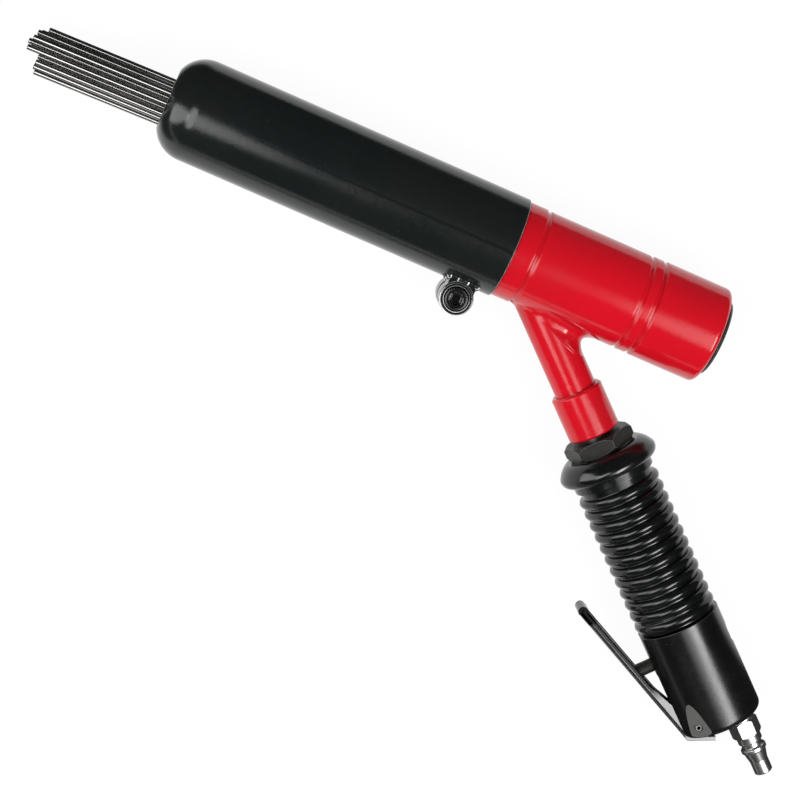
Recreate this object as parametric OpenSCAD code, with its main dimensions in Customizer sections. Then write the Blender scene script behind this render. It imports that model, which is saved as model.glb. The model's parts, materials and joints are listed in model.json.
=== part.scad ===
// Pneumatic needle scaler lying on its side. The barrel runs along X with the needles towards -X,
// the raked handle runs towards +X and -Y, and the tool rests on its front tube and grip flange.

/* [Front tube] */
// Outside diameter of the front tube
tube_od = 56.4; // [52:0.2:60]
// Wall of the front tube
tube_wall = 3; // [2.4:0.1:3.6]
// Length of the front tube
tube_len = 200.4; // [190:0.2:220]
// Outside radius of the rounded nose
nose_r = 18.2; // [15:0.1:21]
// Opening in the nose
nose_hole_d = 33; // [32.6:0.1:36]

/* [Clamp] */
// Diameter of the two clamp lugs
lug_d = 18.8; // [17:0.1:22]
// Length of each lug along the screw
lug_len = 12.5; // [11:0.5:16]
// Distance of the screw from the outside of the tube
lug_drop = 7.6; // [6:0.1:9]
// Distance of the screw from the rear end of the tube
lug_back = 16.4; // [14:0.1:26]
// Width of the slit between the lugs
slit_w = 3; // [2:0.2:4]
// Length of the slit from the rear end
slit_len = 39; // [36:1:55]
// Thread diameter of the clamp screw
clamp_d = 8; // [6:0.5:9]
// Head diameter of the clamp screw
clamp_head_d = 13; // [12:0.5:14]
// Head height of the clamp screw
clamp_head_h = 8; // [6:0.5:9]
// Key size of the clamp screw
clamp_key = 6; // [4:0.5:7]

/* [Needles] */
// Needle diameter
needle_d = 3; // [2:0.1:3.4]
// Needle length with its head
needle_len = 180; // [165:1:190]
// Head diameter of a needle
head_d = 5; // [4:0.1:5.6]
// Head height of a needle
head_h = 3; // [2:0.5:4]
// How far the longest needle stands out of the nose
needle_out = 78; // [65:1:85]
// Free play of each needle in its holder
needle_play = 9; // [6:0.5:10]
// Distance between neighbouring needles at the holder
needle_pitch = 5.8; // [5.4:0.1:6]
// Lean of the loose needles towards the handle in degrees
needle_lean = 1.35; // [0:0.05:1.5]
// Thickness of the needle holder plate
holder_t = 14; // [10:0.5:18]
// Wall of the holder skirt behind the plate
holder_wall = 4.5; // [3:0.5:6]
// Wire of the needle spring
spring_wire = 3; // [2:0.1:3.4]
// Free turns of the needle spring
spring_turns = 9; // [6:1:11]

/* [Striker] */
// Travel of the anvil
anvil_travel = 3; // [2:0.5:4]
// Anvil flange diameter
anvil_flange_d = 36; // [32:0.5:38]
// Anvil flange thickness
anvil_flange_t = 7; // [5:0.5:9]
// Anvil shank diameter
anvil_shank_d = 22; // [18:0.5:24]
// Anvil shank length
anvil_shank_len = 36; // [33:0.5:40]
// Length of the anvil bush
bush_len = 30; // [24:0.5:32]
// Outside diameter of the bush, the cylinder and the valve
liner_od = 38; // [35:0.5:40]
// Cylinder bore
liner_bore = 26; // [24:0.5:29]
// Cylinder length
liner_len = 72; // [60:1:80]
// Piston length
piston_len = 36; // [30:1:44]
// Gap between the resting piston and the anvil
piston_gap = 4; // [2:0.5:6]
// Valve seat thickness
seat_t = 6; // [4:0.5:8]
// Valve disc thickness
disc_t = 2.2; // [1.5:0.1:3]
// Free lift of the valve disc
disc_lift = 1.8; // [1:0.1:1.9]
// Valve chest length
chest_len = 18; // [14:0.5:22]

/* [Body] */
// Body length behind the front tube
body_len = 121.6; // [112:0.2:130]
// Diameter of the front collar
collar_d = 54.2; // [52.6:0.2:55]
// Length of the front collar
collar_len = 12.2; // [6:0.2:14]
// Diameter of the middle of the body
body_d = 53.6; // [50:0.1:53.9]
// Diameter of the rear of the body
rear_d = 54.4; // [52:0.1:55]
// First of the two rear grooves, from the front of the body
groove_at = 73.8; // [66:0.2:76]
// Distance between the two rear grooves
groove_gap = 7.6; // [5:0.2:9]
// Radius of the grooves
groove_r = 1.2; // [0.8:0.1:1.6]
// Rounding of the groove edges
groove_ease = 0.9; // [0.4:0.1:1.2]
// Rounding of the rear edge
rear_round = 3.2; // [1.5:0.1:4]
// Diameter of the rear plug
plug_d = 44; // [41:0.2:46]
// Depth of the rear plug in the body
plug_depth = 34; // [30:0.5:38]
// How far the rear plug stands out
plug_out = 2.7; // [1:0.1:4]
// Key size in the rear plug
plug_key = 14; // [10:0.5:17]

/* [Handle] */
// Angle between the handle and the barrel
handle_angle = 41.9; // [38:0.1:48]
// Handle axis, behind the rear end of the front tube
handle_back = 2.6; // [-6:0.1:6]
// Diameter of the branch tube
branch_d = 23.4; // [22:0.2:26]
// Fillet between the branch and the body
branch_fillet = 6.4; // [4:0.1:7]
// Start of the socket along the handle
socket_at = 84.5; // [82:0.5:92]
// Diameter of the socket
socket_d = 29; // [28:0.2:32]
// Length of the socket
socket_len = 26.4; // [22:0.2:30]
// Outside diameter of the handle pipe
pipe_od = 21; // [18:0.2:22]
// Bore of the handle pipe
pipe_id = 14; // [10:0.2:15]
// Lock nut across its flats
nut_af = 34.5; // [30:0.5:38]
// Lock nut thickness
nut_t = 8.2; // [7:0.2:11]
// Turn of the lock nut about the handle
nut_turn = 42; // [0:1:60]

/* [Grip] */
// Diameter of the flange at the top of the grip
flange_d = 56; // [50:0.5:60]
// Thickness of the flange
flange_t = 12.4; // [9:0.2:14]
// Diameter of the collar below the flange
grip_collar_d = 45.6; // [43:0.2:48]
// Length of the collar
grip_collar_len = 4.6; // [3:0.2:7]
// Diameter of the neck and of the grooves
grip_core_d = 41; // [38:0.2:42]
// Diameter over the ribs
rib_d = 46.8; // [44:0.2:50]
// Number of ribs
rib_count = 11; // [8:1:12]
// Distance between ribs
rib_pitch = 7; // [6.4:0.1:7.2]
// Radius of a rib's round edge
rib_r = 2.9; // [2:0.1:3.1]
// First rib behind the collar
rib_start = 6.9; // [6:0.1:8]
// Diameter of the tail ring
tail_d = 44.6; // [42:0.2:46]
// Length of the tail ring
tail_len = 8.6; // [6:0.2:11]

/* [Throttle] */
// Diameter of the valve body
valve_d = 47.4; // [46:0.2:50]
// Length of the valve body
valve_len = 63.6; // [62:0.2:70]
// Rounding of the bottom edge
valve_round = 4; // [2:0.2:5]
// Distance of the front flat from the handle axis
flat_lat = 23; // [21.6:0.1:23.4]
// Plunger axis below the top of the valve body
plunger_down = 17.8; // [17:0.2:22]
// Plunger diameter
plunger_d = 7.7; // [6.6:0.1:8]
// Bore of the spring chamber
chamber_d = 12.4; // [11.4:0.1:13]
// Distance of the inlet from the handle axis
inlet_off = 10; // [8:0.1:11]
// Inlet thread diameter
inlet_d = 13.2; // [12:0.1:14]
// Depth of the inlet thread
inlet_depth = 18; // [15:0.2:20]

/* [Lever] */
// Lever pin above the bottom of the valve body
pivot_up = 7; // [6:0.1:9]
// Distance of the lever pin from the handle axis
pivot_lat = 14.2; // [13.4:0.1:15]
// Diameter of the lever pin
pin_d = 4; // [3:0.1:5]
// Length of the lever pin
pin_len = 36; // [32:0.5:37]
// Angle between the released lever and the handle
lever_rake = 15.8; // [13:0.1:18]
// Distance of the lever's inner face from its pin
lever_stand = 8; // [7.6:0.1:9]
// Lever length from its pin
lever_len = 93; // [80:1:105]
// Width of the lever
lever_w = 15; // [11:0.2:17]
// Sheet thickness of the lever
lever_t = 2.2; // [1.5:0.1:2.5]
// Length of the tip turned back under the lever
curl_back = 2.2; // [0.5:0.1:4]
// Height of the rims along the lever
rim_h = 1.5; // [1:0.1:3]
// Inside radius of the lever's turned tip
curl_r = 0.6; // [0.4:0.1:3]
// Length of the lever's foot
foot_len = 15; // [10:0.5:17]
// Bend of the foot away from the arm in degrees
foot_bend = 50; // [40:1:60]
// Length of the ears along the arm
ear_len = 34; // [28:0.5:38]
// Radius of the ears round the pin
ear_r = 5.2; // [4.6:0.1:5.6]

/* [Air plug] */
// Air plug across its flats
hex_af = 15; // [14:0.5:17]
// Turn of the hexagon about the handle
hex_turn = 30; // [0:1:60]
// Length of the hexagon
hex_len = 9.5; // [7:0.5:12]
// Height of the collar above the hexagon
hex_stand = 2.5; // [1.5:0.1:4]
// Thickness of the seal washer
washer_t = 2; // [1:0.1:3]
// Diameter of the collar below the hexagon
step_d = 14; // [12.6:0.1:15]
// Diameter of the locking groove
lock_d = 11.8; // [11:0.1:12.4]
// Diameter of the ridge
ridge_d = 14.6; // [13:0.1:16]
// Diameter of the tip
tip_d = 10.4; // [9:0.1:11]
// Length of the straight tip
tip_len = 7.2; // [6:0.2:10]
// Bore of the air plug
air_bore = 6; // [4:0.1:7]

/* [Hidden] */
$fn = 96;

// Fits and overruns
fit = 0.05;
thread_gap = 0.05;
needle_fit = 0.1;
seat_gap = 0.1;
part_gap = 0.3;
nut_gap = 1.8;
overrun = 2;
chamfer = 0.6;
hex_edge_share = 0.8;

// Front tube and its inside
tube_r = tube_od / 2;
bore_r = tube_r - tube_wall;
axis_z = max(tube_od, flange_d) / 2;
ring_rear = nose_r - 1.5 * chamfer;
ring_bore_d = nose_hole_d + 2 * chamfer;

// Clamp lugs, and the screw head in its counterbore
lug_neck_share = 0.84;
lug_neck = lug_d * lug_neck_share;
lug_edge = 1.5 * chamfer;
head_sink_share = 0.9;
head_sink = clamp_head_h * head_sink_share;

// Needle holder and needles
holder_seat_x = needle_len - head_h - needle_out;
holder_r = bore_r - fit;
holder_front_x = holder_seat_x - holder_t;
anvil_face_x = holder_seat_x + head_h + needle_play + anvil_travel + part_gap;
spigot_x = anvil_face_x + anvil_flange_t + part_gap;
spring_r = bore_r - part_gap - spring_wire / 2 - tube_wall / 2;
coil_steps = 16;
pilot_r = spring_r * cos(180 / coil_steps) - spring_wire / 2 - part_gap;
pilot_h = spring_wire;
spring_front_x = ring_rear + seat_gap;
spring_rear_x = holder_front_x - seat_gap;
head_rest = head_d / 2 * tan(needle_lean) + seat_gap;
needle_rings = 2;
needle_cells = [
    for (q = [-needle_rings : needle_rings])
        for (r = [max(-needle_rings, -q - needle_rings) : min(needle_rings, -q + needle_rings)])
            [q, r]
];
// How far back each needle lies in its play, in the order of the cells
needle_back_shares = [
    0.95, 0.83, 0.87,
    0.92, 0.94, 0.85, 0.09,
    0.90, 0.88, 0.20, 0.00, 0.21,
    0.30, 0.15, 0.35, 0.31,
    0.40, 0.45, 0.83
];

// Striker line, from the anvil back to the rear plug
bush_x = spigot_x;
anvil_tail_x = anvil_face_x + anvil_flange_t + anvil_shank_len;
liner_x = bush_x + bush_len + seat_gap / 2;
piston_x = anvil_tail_x + piston_gap;
piston_d = liner_bore - 2 * fit;
seat_x = liner_x + liner_len + seat_gap / 2;
chest_x = seat_x + seat_t + seat_gap / 2;
disc_d = liner_bore;
disc_x = chest_x + disc_lift / 2;
rear_x = tube_len + body_len;
plug_x = chest_x + chest_len + seat_gap;
plug_nose_d = liner_od - 2 * fit;
plug_thread_x = rear_x - plug_depth;
plug_nose_len = plug_thread_x - plug_x;
plug_port_share = 0.125;
plug_port_d = plug_nose_len * plug_port_share;
plug_port_x = plug_x + 2 * plug_port_d;
seal_cord = 2.4;
seal_x = plug_thread_x + 2 * seal_cord;
port_d = 5;
air_groove_r = 3;
spigot_wall = bore_r - fit - liner_od / 2;
exhaust_share = 0.62;
exhaust_d = spigot_wall * exhaust_share;
exhaust_x = piston_x + piston_len / 2;

// Handle line
cross_x = tube_len + handle_back;
branch_r = branch_d / 2;
branch_bore_d = 12;
branch_tail = 10;
socket_end = socket_at + socket_len;
nut_at = socket_end + nut_gap;
grip_at = nut_at + nut_t + part_gap;
flange_lip_share = 0.36;
flange_slope = 50;
collar_at = grip_at + flange_t;
rib_at = collar_at + grip_collar_len + rib_start;
grip_end = rib_at + (rib_count - 1) * rib_pitch + rib_r + tail_len;
valve_at = grip_end + part_gap;
valve_r = valve_d / 2;
valve_end = valve_at + valve_len;
pipe_at = socket_at + branch_tail + seat_gap;
valve_web = 1;
pipe_depth = plunger_down - chamber_d / 2 - valve_web;
pipe_end = valve_at + pipe_depth;
thread_start = 2;

// Throttle valve across the handle
plunger_h = valve_at + plunger_down;
plunger_r = plunger_d / 2;
valve_seat_lat = -2;
seat_bore_d = plunger_d + 2 * part_gap + 2 * fit;
guide_run = 10;
guide_lat = valve_seat_lat + guide_run;
poppet_d = chamber_d - 2 * part_gap - 2 * fit;
poppet_t = 3;
stem_d = 4;
dome_r = 6;
plug_screw_d = chamber_d + 2 * chamfer;
plug_screw_len = 5;
plug_screw_sink = 0.8;
throttle_wire = 1.1;
throttle_turns = 4;
throttle_r = 4;
inlet_bore_d = 8;
outlet_d = 6;
outlet_lat = 3.5;
plunger_seal_cord = 1.6;
plunger_seal_lat = (guide_lat + flat_lat) / 2;
bevel_turn = 28;
bevel_depth = 0.25;
spot_turn = 52;
spot_depth = 1.2;
spot_len = 22;

// Lever in its own frame, along the arm and away from the handle
pivot_h = valve_end - pivot_up;
heel_u = -4;
tip_u = lever_len - curl_r - lever_t;
bend_share = 1.1;
bend_r = lever_t * bend_share;
ear_mid_shares = [0.5, 0.48];
ear_foot_shares = [0.64, -0.77];
slot_w = lever_w + 2 * part_gap;
slot_floor = pivot_lat - ear_r - part_gap;
slot_wall = 1.5;
slot_top = plunger_h + plunger_r + slot_wall;
slot_ramp = 13;
web_u = (pivot_h - plunger_h + lever_stand * sin(lever_rake)) / cos(lever_rake);
web_lat = pivot_lat + web_u * sin(lever_rake) + lever_stand * cos(lever_rake);
dome_lat = web_lat - dome_r / cos(lever_rake) - seat_gap;

// Air plug along the handle from the bottom of the valve body
hex_at = valve_end + washer_t + hex_stand;
step_at = hex_at + hex_len;
step_len = 4.4;
lock_len = 2.6;
ridge_len = 3;
taper_len = 6;
lock_at = step_at + step_len;
ridge_at = lock_at + lock_len;
taper_at = ridge_at + ridge_len;
tip_at = taper_at + taper_len;
tip_end = tip_at + tip_len + chamfer;
filter_len = 10;
washer_rim = 1.2;

// Corners of the whole tool, which place its origin
low_x = holder_seat_x - (needle_len - head_h) * cos(needle_lean);
high_x = cross_x + tip_end * cos(handle_angle) + (inlet_off + tip_d / 2 - chamfer) * sin(handle_angle);
low_y = (inlet_off - tip_d / 2) * cos(handle_angle) - (tip_end - chamfer) * sin(handle_angle);
origin_x = (low_x + high_x) / 2;
origin_y = (low_y + tube_r) / 2;

function needle_name(i) = str("needle_", i < 9 ? "0" : "", i + 1);
function unit(v) = v / norm(v);
function needle_spot(i) =
    let (c = needle_cells[i])
    needle_pitch * [sqrt(3) / 2 * c[1], c[0] + c[1] / 2];

// Frame of the barrel: x along it from the nose, y away from the handle, z up
module barrel_plane() {
    translate([-origin_x, -origin_y, axis_z]) children();
}

// Frame of a turned piece on the barrel: z along it from the nose, -y towards the handle
module barrel(x = 0) {
    barrel_plane() translate([x, 0, 0]) rotate([0, 90, 0]) children();
}

// Frame of the handle: x along it from the barrel axis, -y towards the lever, z up
module handle_plane() {
    barrel_plane() translate([cross_x, 0, 0]) rotate([0, 0, -handle_angle]) children();
}

// Frame of a turned piece on the handle: z along it, -y towards the lever
module handle(h = 0) {
    handle_plane() translate([h, 0, 0]) rotate([0, 90, 0]) children();
}

// Frame of the throttle valve: z across the handle towards the lever
module throttle(lat = 0) {
    handle_plane() translate([plunger_h, 0, 0]) rotate([90, 0, 0]) translate([0, 0, lat]) children();
}

// Frame of the lever: x along its arm to the tip, y away from the handle, z up
module lever_frame() {
    handle_plane() translate([pivot_h, -pivot_lat, 0]) rotate([0, 0, 180 + lever_rake]) children();
}

// Frame of needle i at its seat in the holder: z along it to the tip
module needle_frame(i) {
    spot = needle_spot(i);
    barrel_plane()
        translate([holder_seat_x, spot[1], spot[0]])
            rotate([0, 0, needle_lean])
                rotate([0, -90, 0]) children();
}

// Half section of a turned rod with one rounded end
module round_end(r, len, corner) {
    intersection() {
        union() {
            translate([0, corner]) square([r, len - corner]);
            square([r - corner, corner]);
            translate([r - corner, corner]) circle(corner);
        }
        square([r, len]);
    }
}

// Turned rod with broken edges
module rod(d, len, edge = chamfer) {
    rotate_extrude()
        polygon([
            [0, 0], [d / 2 - edge, 0], [d / 2, edge],
            [d / 2, len - edge], [d / 2 - edge, len], [0, len]
        ]);
}

// Turned sleeve with broken outer edges
module sleeve(d, bore, len, edge = chamfer) {
    difference() {
        rod(d, len, edge);
        translate([0, 0, -overrun]) cylinder(d = bore, h = len + 2 * overrun);
    }
}

// Hexagon with its corners turned off at both ends
module hexagon(af, len) {
    corner = af / sqrt(3);
    intersection() {
        cylinder(r = corner, h = len, $fn = 6);
        rod(2 * corner, len, (corner - af / 2) * hex_edge_share);
    }
}

function coil_centre(r, len, turns, k, steps) =
    let (a = 360 * turns * k / steps)
    [r * cos(a), r * sin(a), len * k / steps];

function coil_ring(c, wire, sides) =
    let (out = unit([c[0], c[1], 0]))
    [for (s = [0 : sides - 1]) c + wire / 2 * (cos(360 * s / sides) * out + [0, 0, sin(360 * s / sides)])];

// Least gap between one turn and the next, measured on the coil's own centres
function coil_gap(r, len, wire, turns) =
    let (steps = coil_steps * turns)
    let (c = [for (k = [0 : steps]) coil_centre(r, len - wire, turns, k, steps)])
    min([for (k = [0 : steps - coil_steps]) norm(c[k + coil_steps] - c[k])]) - wire;

// Coil spring from z = 0 to len, one unbroken tube
module coil(r, len, wire, turns) {
    steps = coil_steps * turns;
    sides = 6;
    rings = [for (k = [0 : steps]) coil_ring(coil_centre(r, len - wire, turns, k, steps), wire, sides)];
    points = [for (ring = rings) for (p = ring) p + [0, 0, wire / 2]];
    sleeve_faces = [
        for (k = [0 : steps - 1]) for (s = [0 : sides - 1])
            let (a = k * sides + s, b = k * sides + (s + 1) % sides)
            for (f = [[a, b, b + sides], [a, b + sides, a + sides]]) f
    ];
    first = [for (s = [1 : sides - 2]) [0, s + 1, s]];
    end = steps * sides;
    last = [for (s = [1 : sides - 2]) [end, end + s, end + s + 1]];
    polyhedron(points, concat(sleeve_faces, first, last));
}

module needle_tube() {
    lug_y = -tube_r - lug_drop;
    lug_x = tube_len - lug_back;
    color("#16181a")
        difference() {
            union() {
                barrel()
                    rotate_extrude()
                        difference() {
                            round_end(tube_r, tube_len, nose_r);
                            translate([0, tube_wall]) round_end(bore_r, tube_len, nose_r - tube_wall);
                            square([nose_hole_d / 2, nose_r]);
                        }
                barrel_plane()
                    for (side = [-1, 1])
                        translate([lug_x, lug_y, side * (slit_w + lug_len) / 2]) {
                            translate([0, 0, -lug_len / 2]) rod(lug_d, lug_len, lug_edge);
                            translate([-lug_neck / 2, 0, lug_edge - lug_len / 2])
                                cube([lug_neck, lug_drop + tube_wall, lug_len - 2 * lug_edge]);
                        }
            }
            barrel(holder_seat_x) cylinder(r = bore_r, h = tube_len);
            barrel_plane() {
                translate([tube_len - slit_len, -2 * tube_od, -slit_w / 2])
                    cube([slit_len + overrun, 2 * tube_od - bore_r / 2, slit_w]);
                translate([tube_len - slit_len, -bore_r / 2, 0])
                    rotate([90, 0, 0]) cylinder(d = 2 * slit_w, h = tube_od);
                translate([lug_x, lug_y, 0]) {
                    cylinder(d = clamp_d + 2 * chamfer, h = slit_w + lug_len);
                    translate([0, 0, slit_w / 2 + lug_len - head_sink])
                        cylinder(d = clamp_head_d + 2 * chamfer, h = clamp_head_h);
                    translate([0, 0, -slit_w - lug_len])
                        cylinder(d = clamp_d + 2 * thread_gap, h = slit_w + lug_len);
                }
            }
        }
}

module clamp_screw() {
    shank = 2 * lug_len + slit_w - head_sink - chamfer;
    color("#2a2c2e")
        barrel_plane()
            translate([tube_len - lug_back, -tube_r - lug_drop, slit_w / 2 + lug_len - head_sink])
                difference() {
                    union() {
                        rod(clamp_head_d, clamp_head_h);
                        translate([0, 0, -shank]) rod(clamp_d, shank + chamfer);
                    }
                    translate([0, 0, clamp_head_h / 2])
                        cylinder(d = clamp_key * 2 / sqrt(3), h = clamp_head_h, $fn = 6);
                }
}

// Ring turned to fit the inside of the nose, which carries the front of the spring
module nose_ring() {
    color("#8d8f90")
        barrel()
            rotate_extrude()
                intersection() {
                    translate([0, tube_wall + seat_gap])
                        round_end(bore_r - seat_gap, tube_len, nose_r - tube_wall);
                    translate([ring_bore_d / 2, 0]) square([bore_r, ring_rear]);
                }
}

module needle_spring() {
    length = spring_rear_x - spring_front_x;
    color("#7c7f82") barrel(spring_front_x) coil(spring_r, length, spring_wire, spring_turns);
    echo(needle_spring_gap = coil_gap(spring_r, length, spring_wire, spring_turns));
}

module needle_holder() {
    skirt = spigot_x - seat_gap - holder_front_x;
    color("#6f7274")
        difference() {
            union() {
                barrel(holder_front_x) rod(2 * holder_r, skirt);
                barrel(holder_front_x - pilot_h) rod(2 * pilot_r, pilot_h + chamfer);
            }
            barrel(holder_seat_x) cylinder(r = holder_r - holder_wall, h = skirt);
            for (i = [0 : len(needle_cells) - 1])
                needle_frame(i)
                    translate([0, 0, -overrun])
                        cylinder(d = needle_d + 2 * needle_fit, h = holder_t + pilot_h + 2 * overrun);
        }
}

module needle(i) {
    back = needle_play * needle_back_shares[i];
    color("#54575a")
        needle_frame(i)
            translate([0, 0, -back - head_rest]) {
                translate([0, 0, -head_h]) rod(head_d, head_h, chamfer / 2);
                translate([0, 0, -head_h / 2]) rod(needle_d, needle_len - head_h / 2, chamfer / 2);
            }
}

module anvil() {
    color("#6a6d70")
        barrel(anvil_face_x) {
            rod(anvil_flange_d, anvil_flange_t);
            translate([0, 0, anvil_flange_t / 2])
                rod(anvil_shank_d - 2 * fit, anvil_flange_t / 2 + anvil_shank_len);
        }
}

module anvil_bush() {
    color("#8a7a4c") barrel(bush_x) sleeve(liner_od - 2 * fit, anvil_shank_d, bush_len);
}

// Channel that takes the air from the handle back to the valve
module air_groove() {
    barrel(cross_x) translate([0, -liner_od / 2, 0]) cylinder(r = air_groove_r, h = plug_port_x - cross_x);
}

module cylinder_liner() {
    color("#77797b")
        difference() {
            barrel(liner_x) sleeve(liner_od - 2 * fit, liner_bore, liner_len);
            for (a = [45 : 90 : 315])
                barrel(exhaust_x) rotate([0, 0, a]) rotate([90, 0, 0]) cylinder(d = port_d, h = liner_od);
            air_groove();
        }
}

module piston() {
    ring = 1.2;
    color("#85888b")
        barrel(piston_x)
            difference() {
                union() {
                    rod(anvil_shank_d - 2 * fit, piston_len);
                    translate([0, 0, 3 * ring]) rod(piston_d, piston_len - 3 * ring);
                }
                for (k = [1 : 3])
                    translate([0, 0, piston_len * k / 4])
                        rotate_extrude() translate([piston_d / 2, 0]) circle(ring / 2);
                translate([0, 0, piston_len - port_d]) cylinder(d = liner_bore / 2, h = port_d + overrun);
            }
}

// Plate behind the cylinder with a ring of ports
module valve_seat() {
    color("#6f7173")
        difference() {
            barrel(seat_x) rod(liner_od - 2 * fit, seat_t);
            for (a = [30 : 60 : 330])
                barrel(seat_x - overrun)
                    rotate([0, 0, a])
                        translate([0, liner_bore / 4, 0]) cylinder(d = port_d / 2, h = seat_t + 2 * overrun);
            air_groove();
        }
}

module valve_disc() {
    color("#9a9c9d") barrel(disc_x) rod(disc_d - 2 * fit, disc_t, chamfer / 3);
}

module valve_chest() {
    color("#6f7173")
        difference() {
            barrel(chest_x) rod(liner_od - 2 * fit, chest_len);
            barrel(chest_x - overrun) cylinder(d = disc_d, h = disc_t + disc_lift + overrun);
            barrel(chest_x) cylinder(d = port_d, h = chest_len + overrun);
            air_groove();
        }
}

module rear_plug() {
    color("#1c1d1f")
        difference() {
            union() {
                barrel(plug_x) rod(plug_nose_d, plug_nose_len + plug_out);
                barrel(plug_thread_x) rod(plug_d - 2 * thread_gap, plug_depth + plug_out, 2 * chamfer);
            }
            barrel(rear_x + plug_out - plug_key / 2)
                cylinder(d = plug_key * 2 / sqrt(3), h = plug_key, $fn = 6);
            barrel(seal_x)
                rotate_extrude()
                    translate([plug_d / 2 - seal_cord - seat_gap, -seal_cord / 2 - seat_gap])
                        square([2 * seal_cord, seal_cord + 2 * seat_gap]);
            barrel(plug_x - overrun) cylinder(d = liner_bore, h = overrun + plug_nose_len / 2);
            air_groove();
            barrel_plane()
                translate([plug_port_x, 0, 0]) rotate([90, 0, 0]) cylinder(d = plug_port_d, h = plug_d);
        }
}

module rear_seal() {
    color("#202122")
        barrel(seal_x)
            rotate_extrude()
                translate([plug_d / 2 - seal_cord / 2, 0])
                    difference() {
                        circle(d = seal_cord);
                        translate([seal_cord / 2 - seat_gap, -seal_cord]) square(2 * seal_cord);
                    }
}

// Point on the branch or the body where the fillet at angle a round the branch begins, bends and ends
function fillet_corner(a) =
    let (reach = sqrt(pow(body_d / 2, 2) - pow(branch_r * sin(a), 2)))
    let (h = (branch_r * cos(a) * cos(handle_angle) + reach) / sin(handle_angle))
    [h, branch_r * cos(a), branch_r * sin(a)];
function branch_normal(a) = [0, cos(a), sin(a)];
function body_normal(p) =
    let (y = -p[0] * sin(handle_angle) + p[1] * cos(handle_angle))
    unit([-y * sin(handle_angle), y * cos(handle_angle), p[2]]);
function fillet_section(a, steps) =
    let (p = fillet_corner(a), nb = branch_normal(a), nc = body_normal(p))
    let (open = 180 - acos(nb * nc), run = branch_fillet / tan(open / 2))
    let (along = unit(cross(nb, nc)), up = cross(along, nb), out = cross(nc, along))
    let (ub = up[0] > 0 ? up : -up, uc = out * nb > 0 ? out : -out)
    let (sink = branch_fillet / 14)
    let (start = p + run * ub - sink * nb, end = p + run * uc - sink * nc)
    concat(
        [start - branch_fillet / 4 * nb],
        [for (k = [0 : steps])
            let (s = k / steps) pow(1 - s, 2) * start + 2 * s * (1 - s) * p + s * s * end],
        [end - branch_fillet / 4 * nc, p - branch_fillet / 3 * (nb + nc)]
    );

// Cast fillet where the branch leaves the body
module branch_root() {
    around = 32;
    steps = 5;
    sections = [for (k = [0 : around - 1]) fillet_section(360 * k / around, steps)];
    n = len(sections[0]);
    points = [for (section = sections) for (p = section) p];
    faces = [
        for (k = [0 : around - 1]) for (s = [0 : n - 1])
            let (k2 = (k + 1) % around, s2 = (s + 1) % n)
            for (f = [[k * n + s, k2 * n + s2, k * n + s2], [k * n + s, k2 * n + s, k2 * n + s2]]) f
    ];
    handle_plane() polyhedron(points, faces);
}

// Half section of the body from the spigot inside the tube to its rear end
module body_section() {
    front = tube_len + part_gap - spigot_x;
    band = front + groove_at;
    length = rear_x - spigot_x;
    difference() {
        union() {
            square([bore_r - fit, front + overrun]);
            translate([0, front]) square([collar_d / 2, collar_len]);
            translate([0, front]) square([body_d / 2, groove_at]);
            translate([0, band - groove_r]) square([(body_d + rear_d) / 4, groove_gap + 2 * groove_r]);
            translate([0, length])
                mirror([0, 1]) round_end(rear_d / 2, length - band - groove_gap, rear_round);
        }
        groove(front + collar_len, collar_d / 2, body_d / 2);
        groove(band, body_d / 2, (body_d + rear_d) / 4);
        groove(band + groove_gap, (body_d + rear_d) / 4, rear_d / 2);
    }
}

// Round groove in the body's section with eased edges to the walls before and after it
module groove(z, before, after) {
    centre = body_d / 2 + groove_r / 4;
    translate([centre, z]) circle(groove_r);
    for (edge = [[before, -1], [after, 1]]) {
        lift = centre - edge[0] + groove_ease;
        reach = sqrt(pow(groove_r + groove_ease, 2) - pow(lift, 2));
        foot = edge[0] - groove_ease + groove_ease * lift / (groove_r + groove_ease);
        difference() {
            translate([foot, edge[1] < 0 ? z - reach : z]) square([overrun, reach]);
            translate([edge[0] - groove_ease, z + edge[1] * reach]) circle(groove_ease);
        }
    }
}

module body() {
    color("#b3131f")
        difference() {
            union() {
                barrel(spigot_x) rotate_extrude() body_section();
                handle() cylinder(d = branch_d, h = socket_at + branch_tail);
                branch_root();
            }
            barrel(spigot_x - overrun) cylinder(d = liner_od, h = plug_thread_x - spigot_x + 2 * overrun);
            barrel(plug_thread_x) cylinder(d = plug_d, h = plug_depth + overrun);
            handle() cylinder(d = branch_bore_d, h = socket_at + branch_tail + overrun);
            barrel(exhaust_x - port_d) cylinder(d = liner_od / 2 + bore_r, h = 2 * port_d);
            for (a = [30 : 120 : 270])
                barrel(spigot_x - overrun)
                    rotate([0, 0, a])
                        translate([(liner_od / 2 + bore_r) / 2, 0, 0])
                            cylinder(d = exhaust_d, h = exhaust_x - spigot_x + overrun);
        }
}

module handle_socket() {
    color("#b3131f")
        handle(socket_at)
            difference() {
                rod(socket_d, socket_len, 2 * chamfer);
                translate([0, 0, -overrun])
                    cylinder(d = branch_d + 2 * fit, h = branch_tail + overrun + seat_gap);
                cylinder(d = pipe_od + 2 * thread_gap, h = socket_len + overrun);
            }
}

module lock_nut() {
    color("#1b1c1d")
        handle(nut_at)
            difference() {
                rotate([0, 0, nut_turn]) hexagon(nut_af, nut_t);
                translate([0, 0, -overrun]) cylinder(d = pipe_od + 2 * thread_gap, h = nut_t + 2 * overrun);
            }
}

module handle_pipe() {
    color("#5b5e60") handle(pipe_at) sleeve(pipe_od, pipe_id, pipe_end - pipe_at);
}

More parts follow.
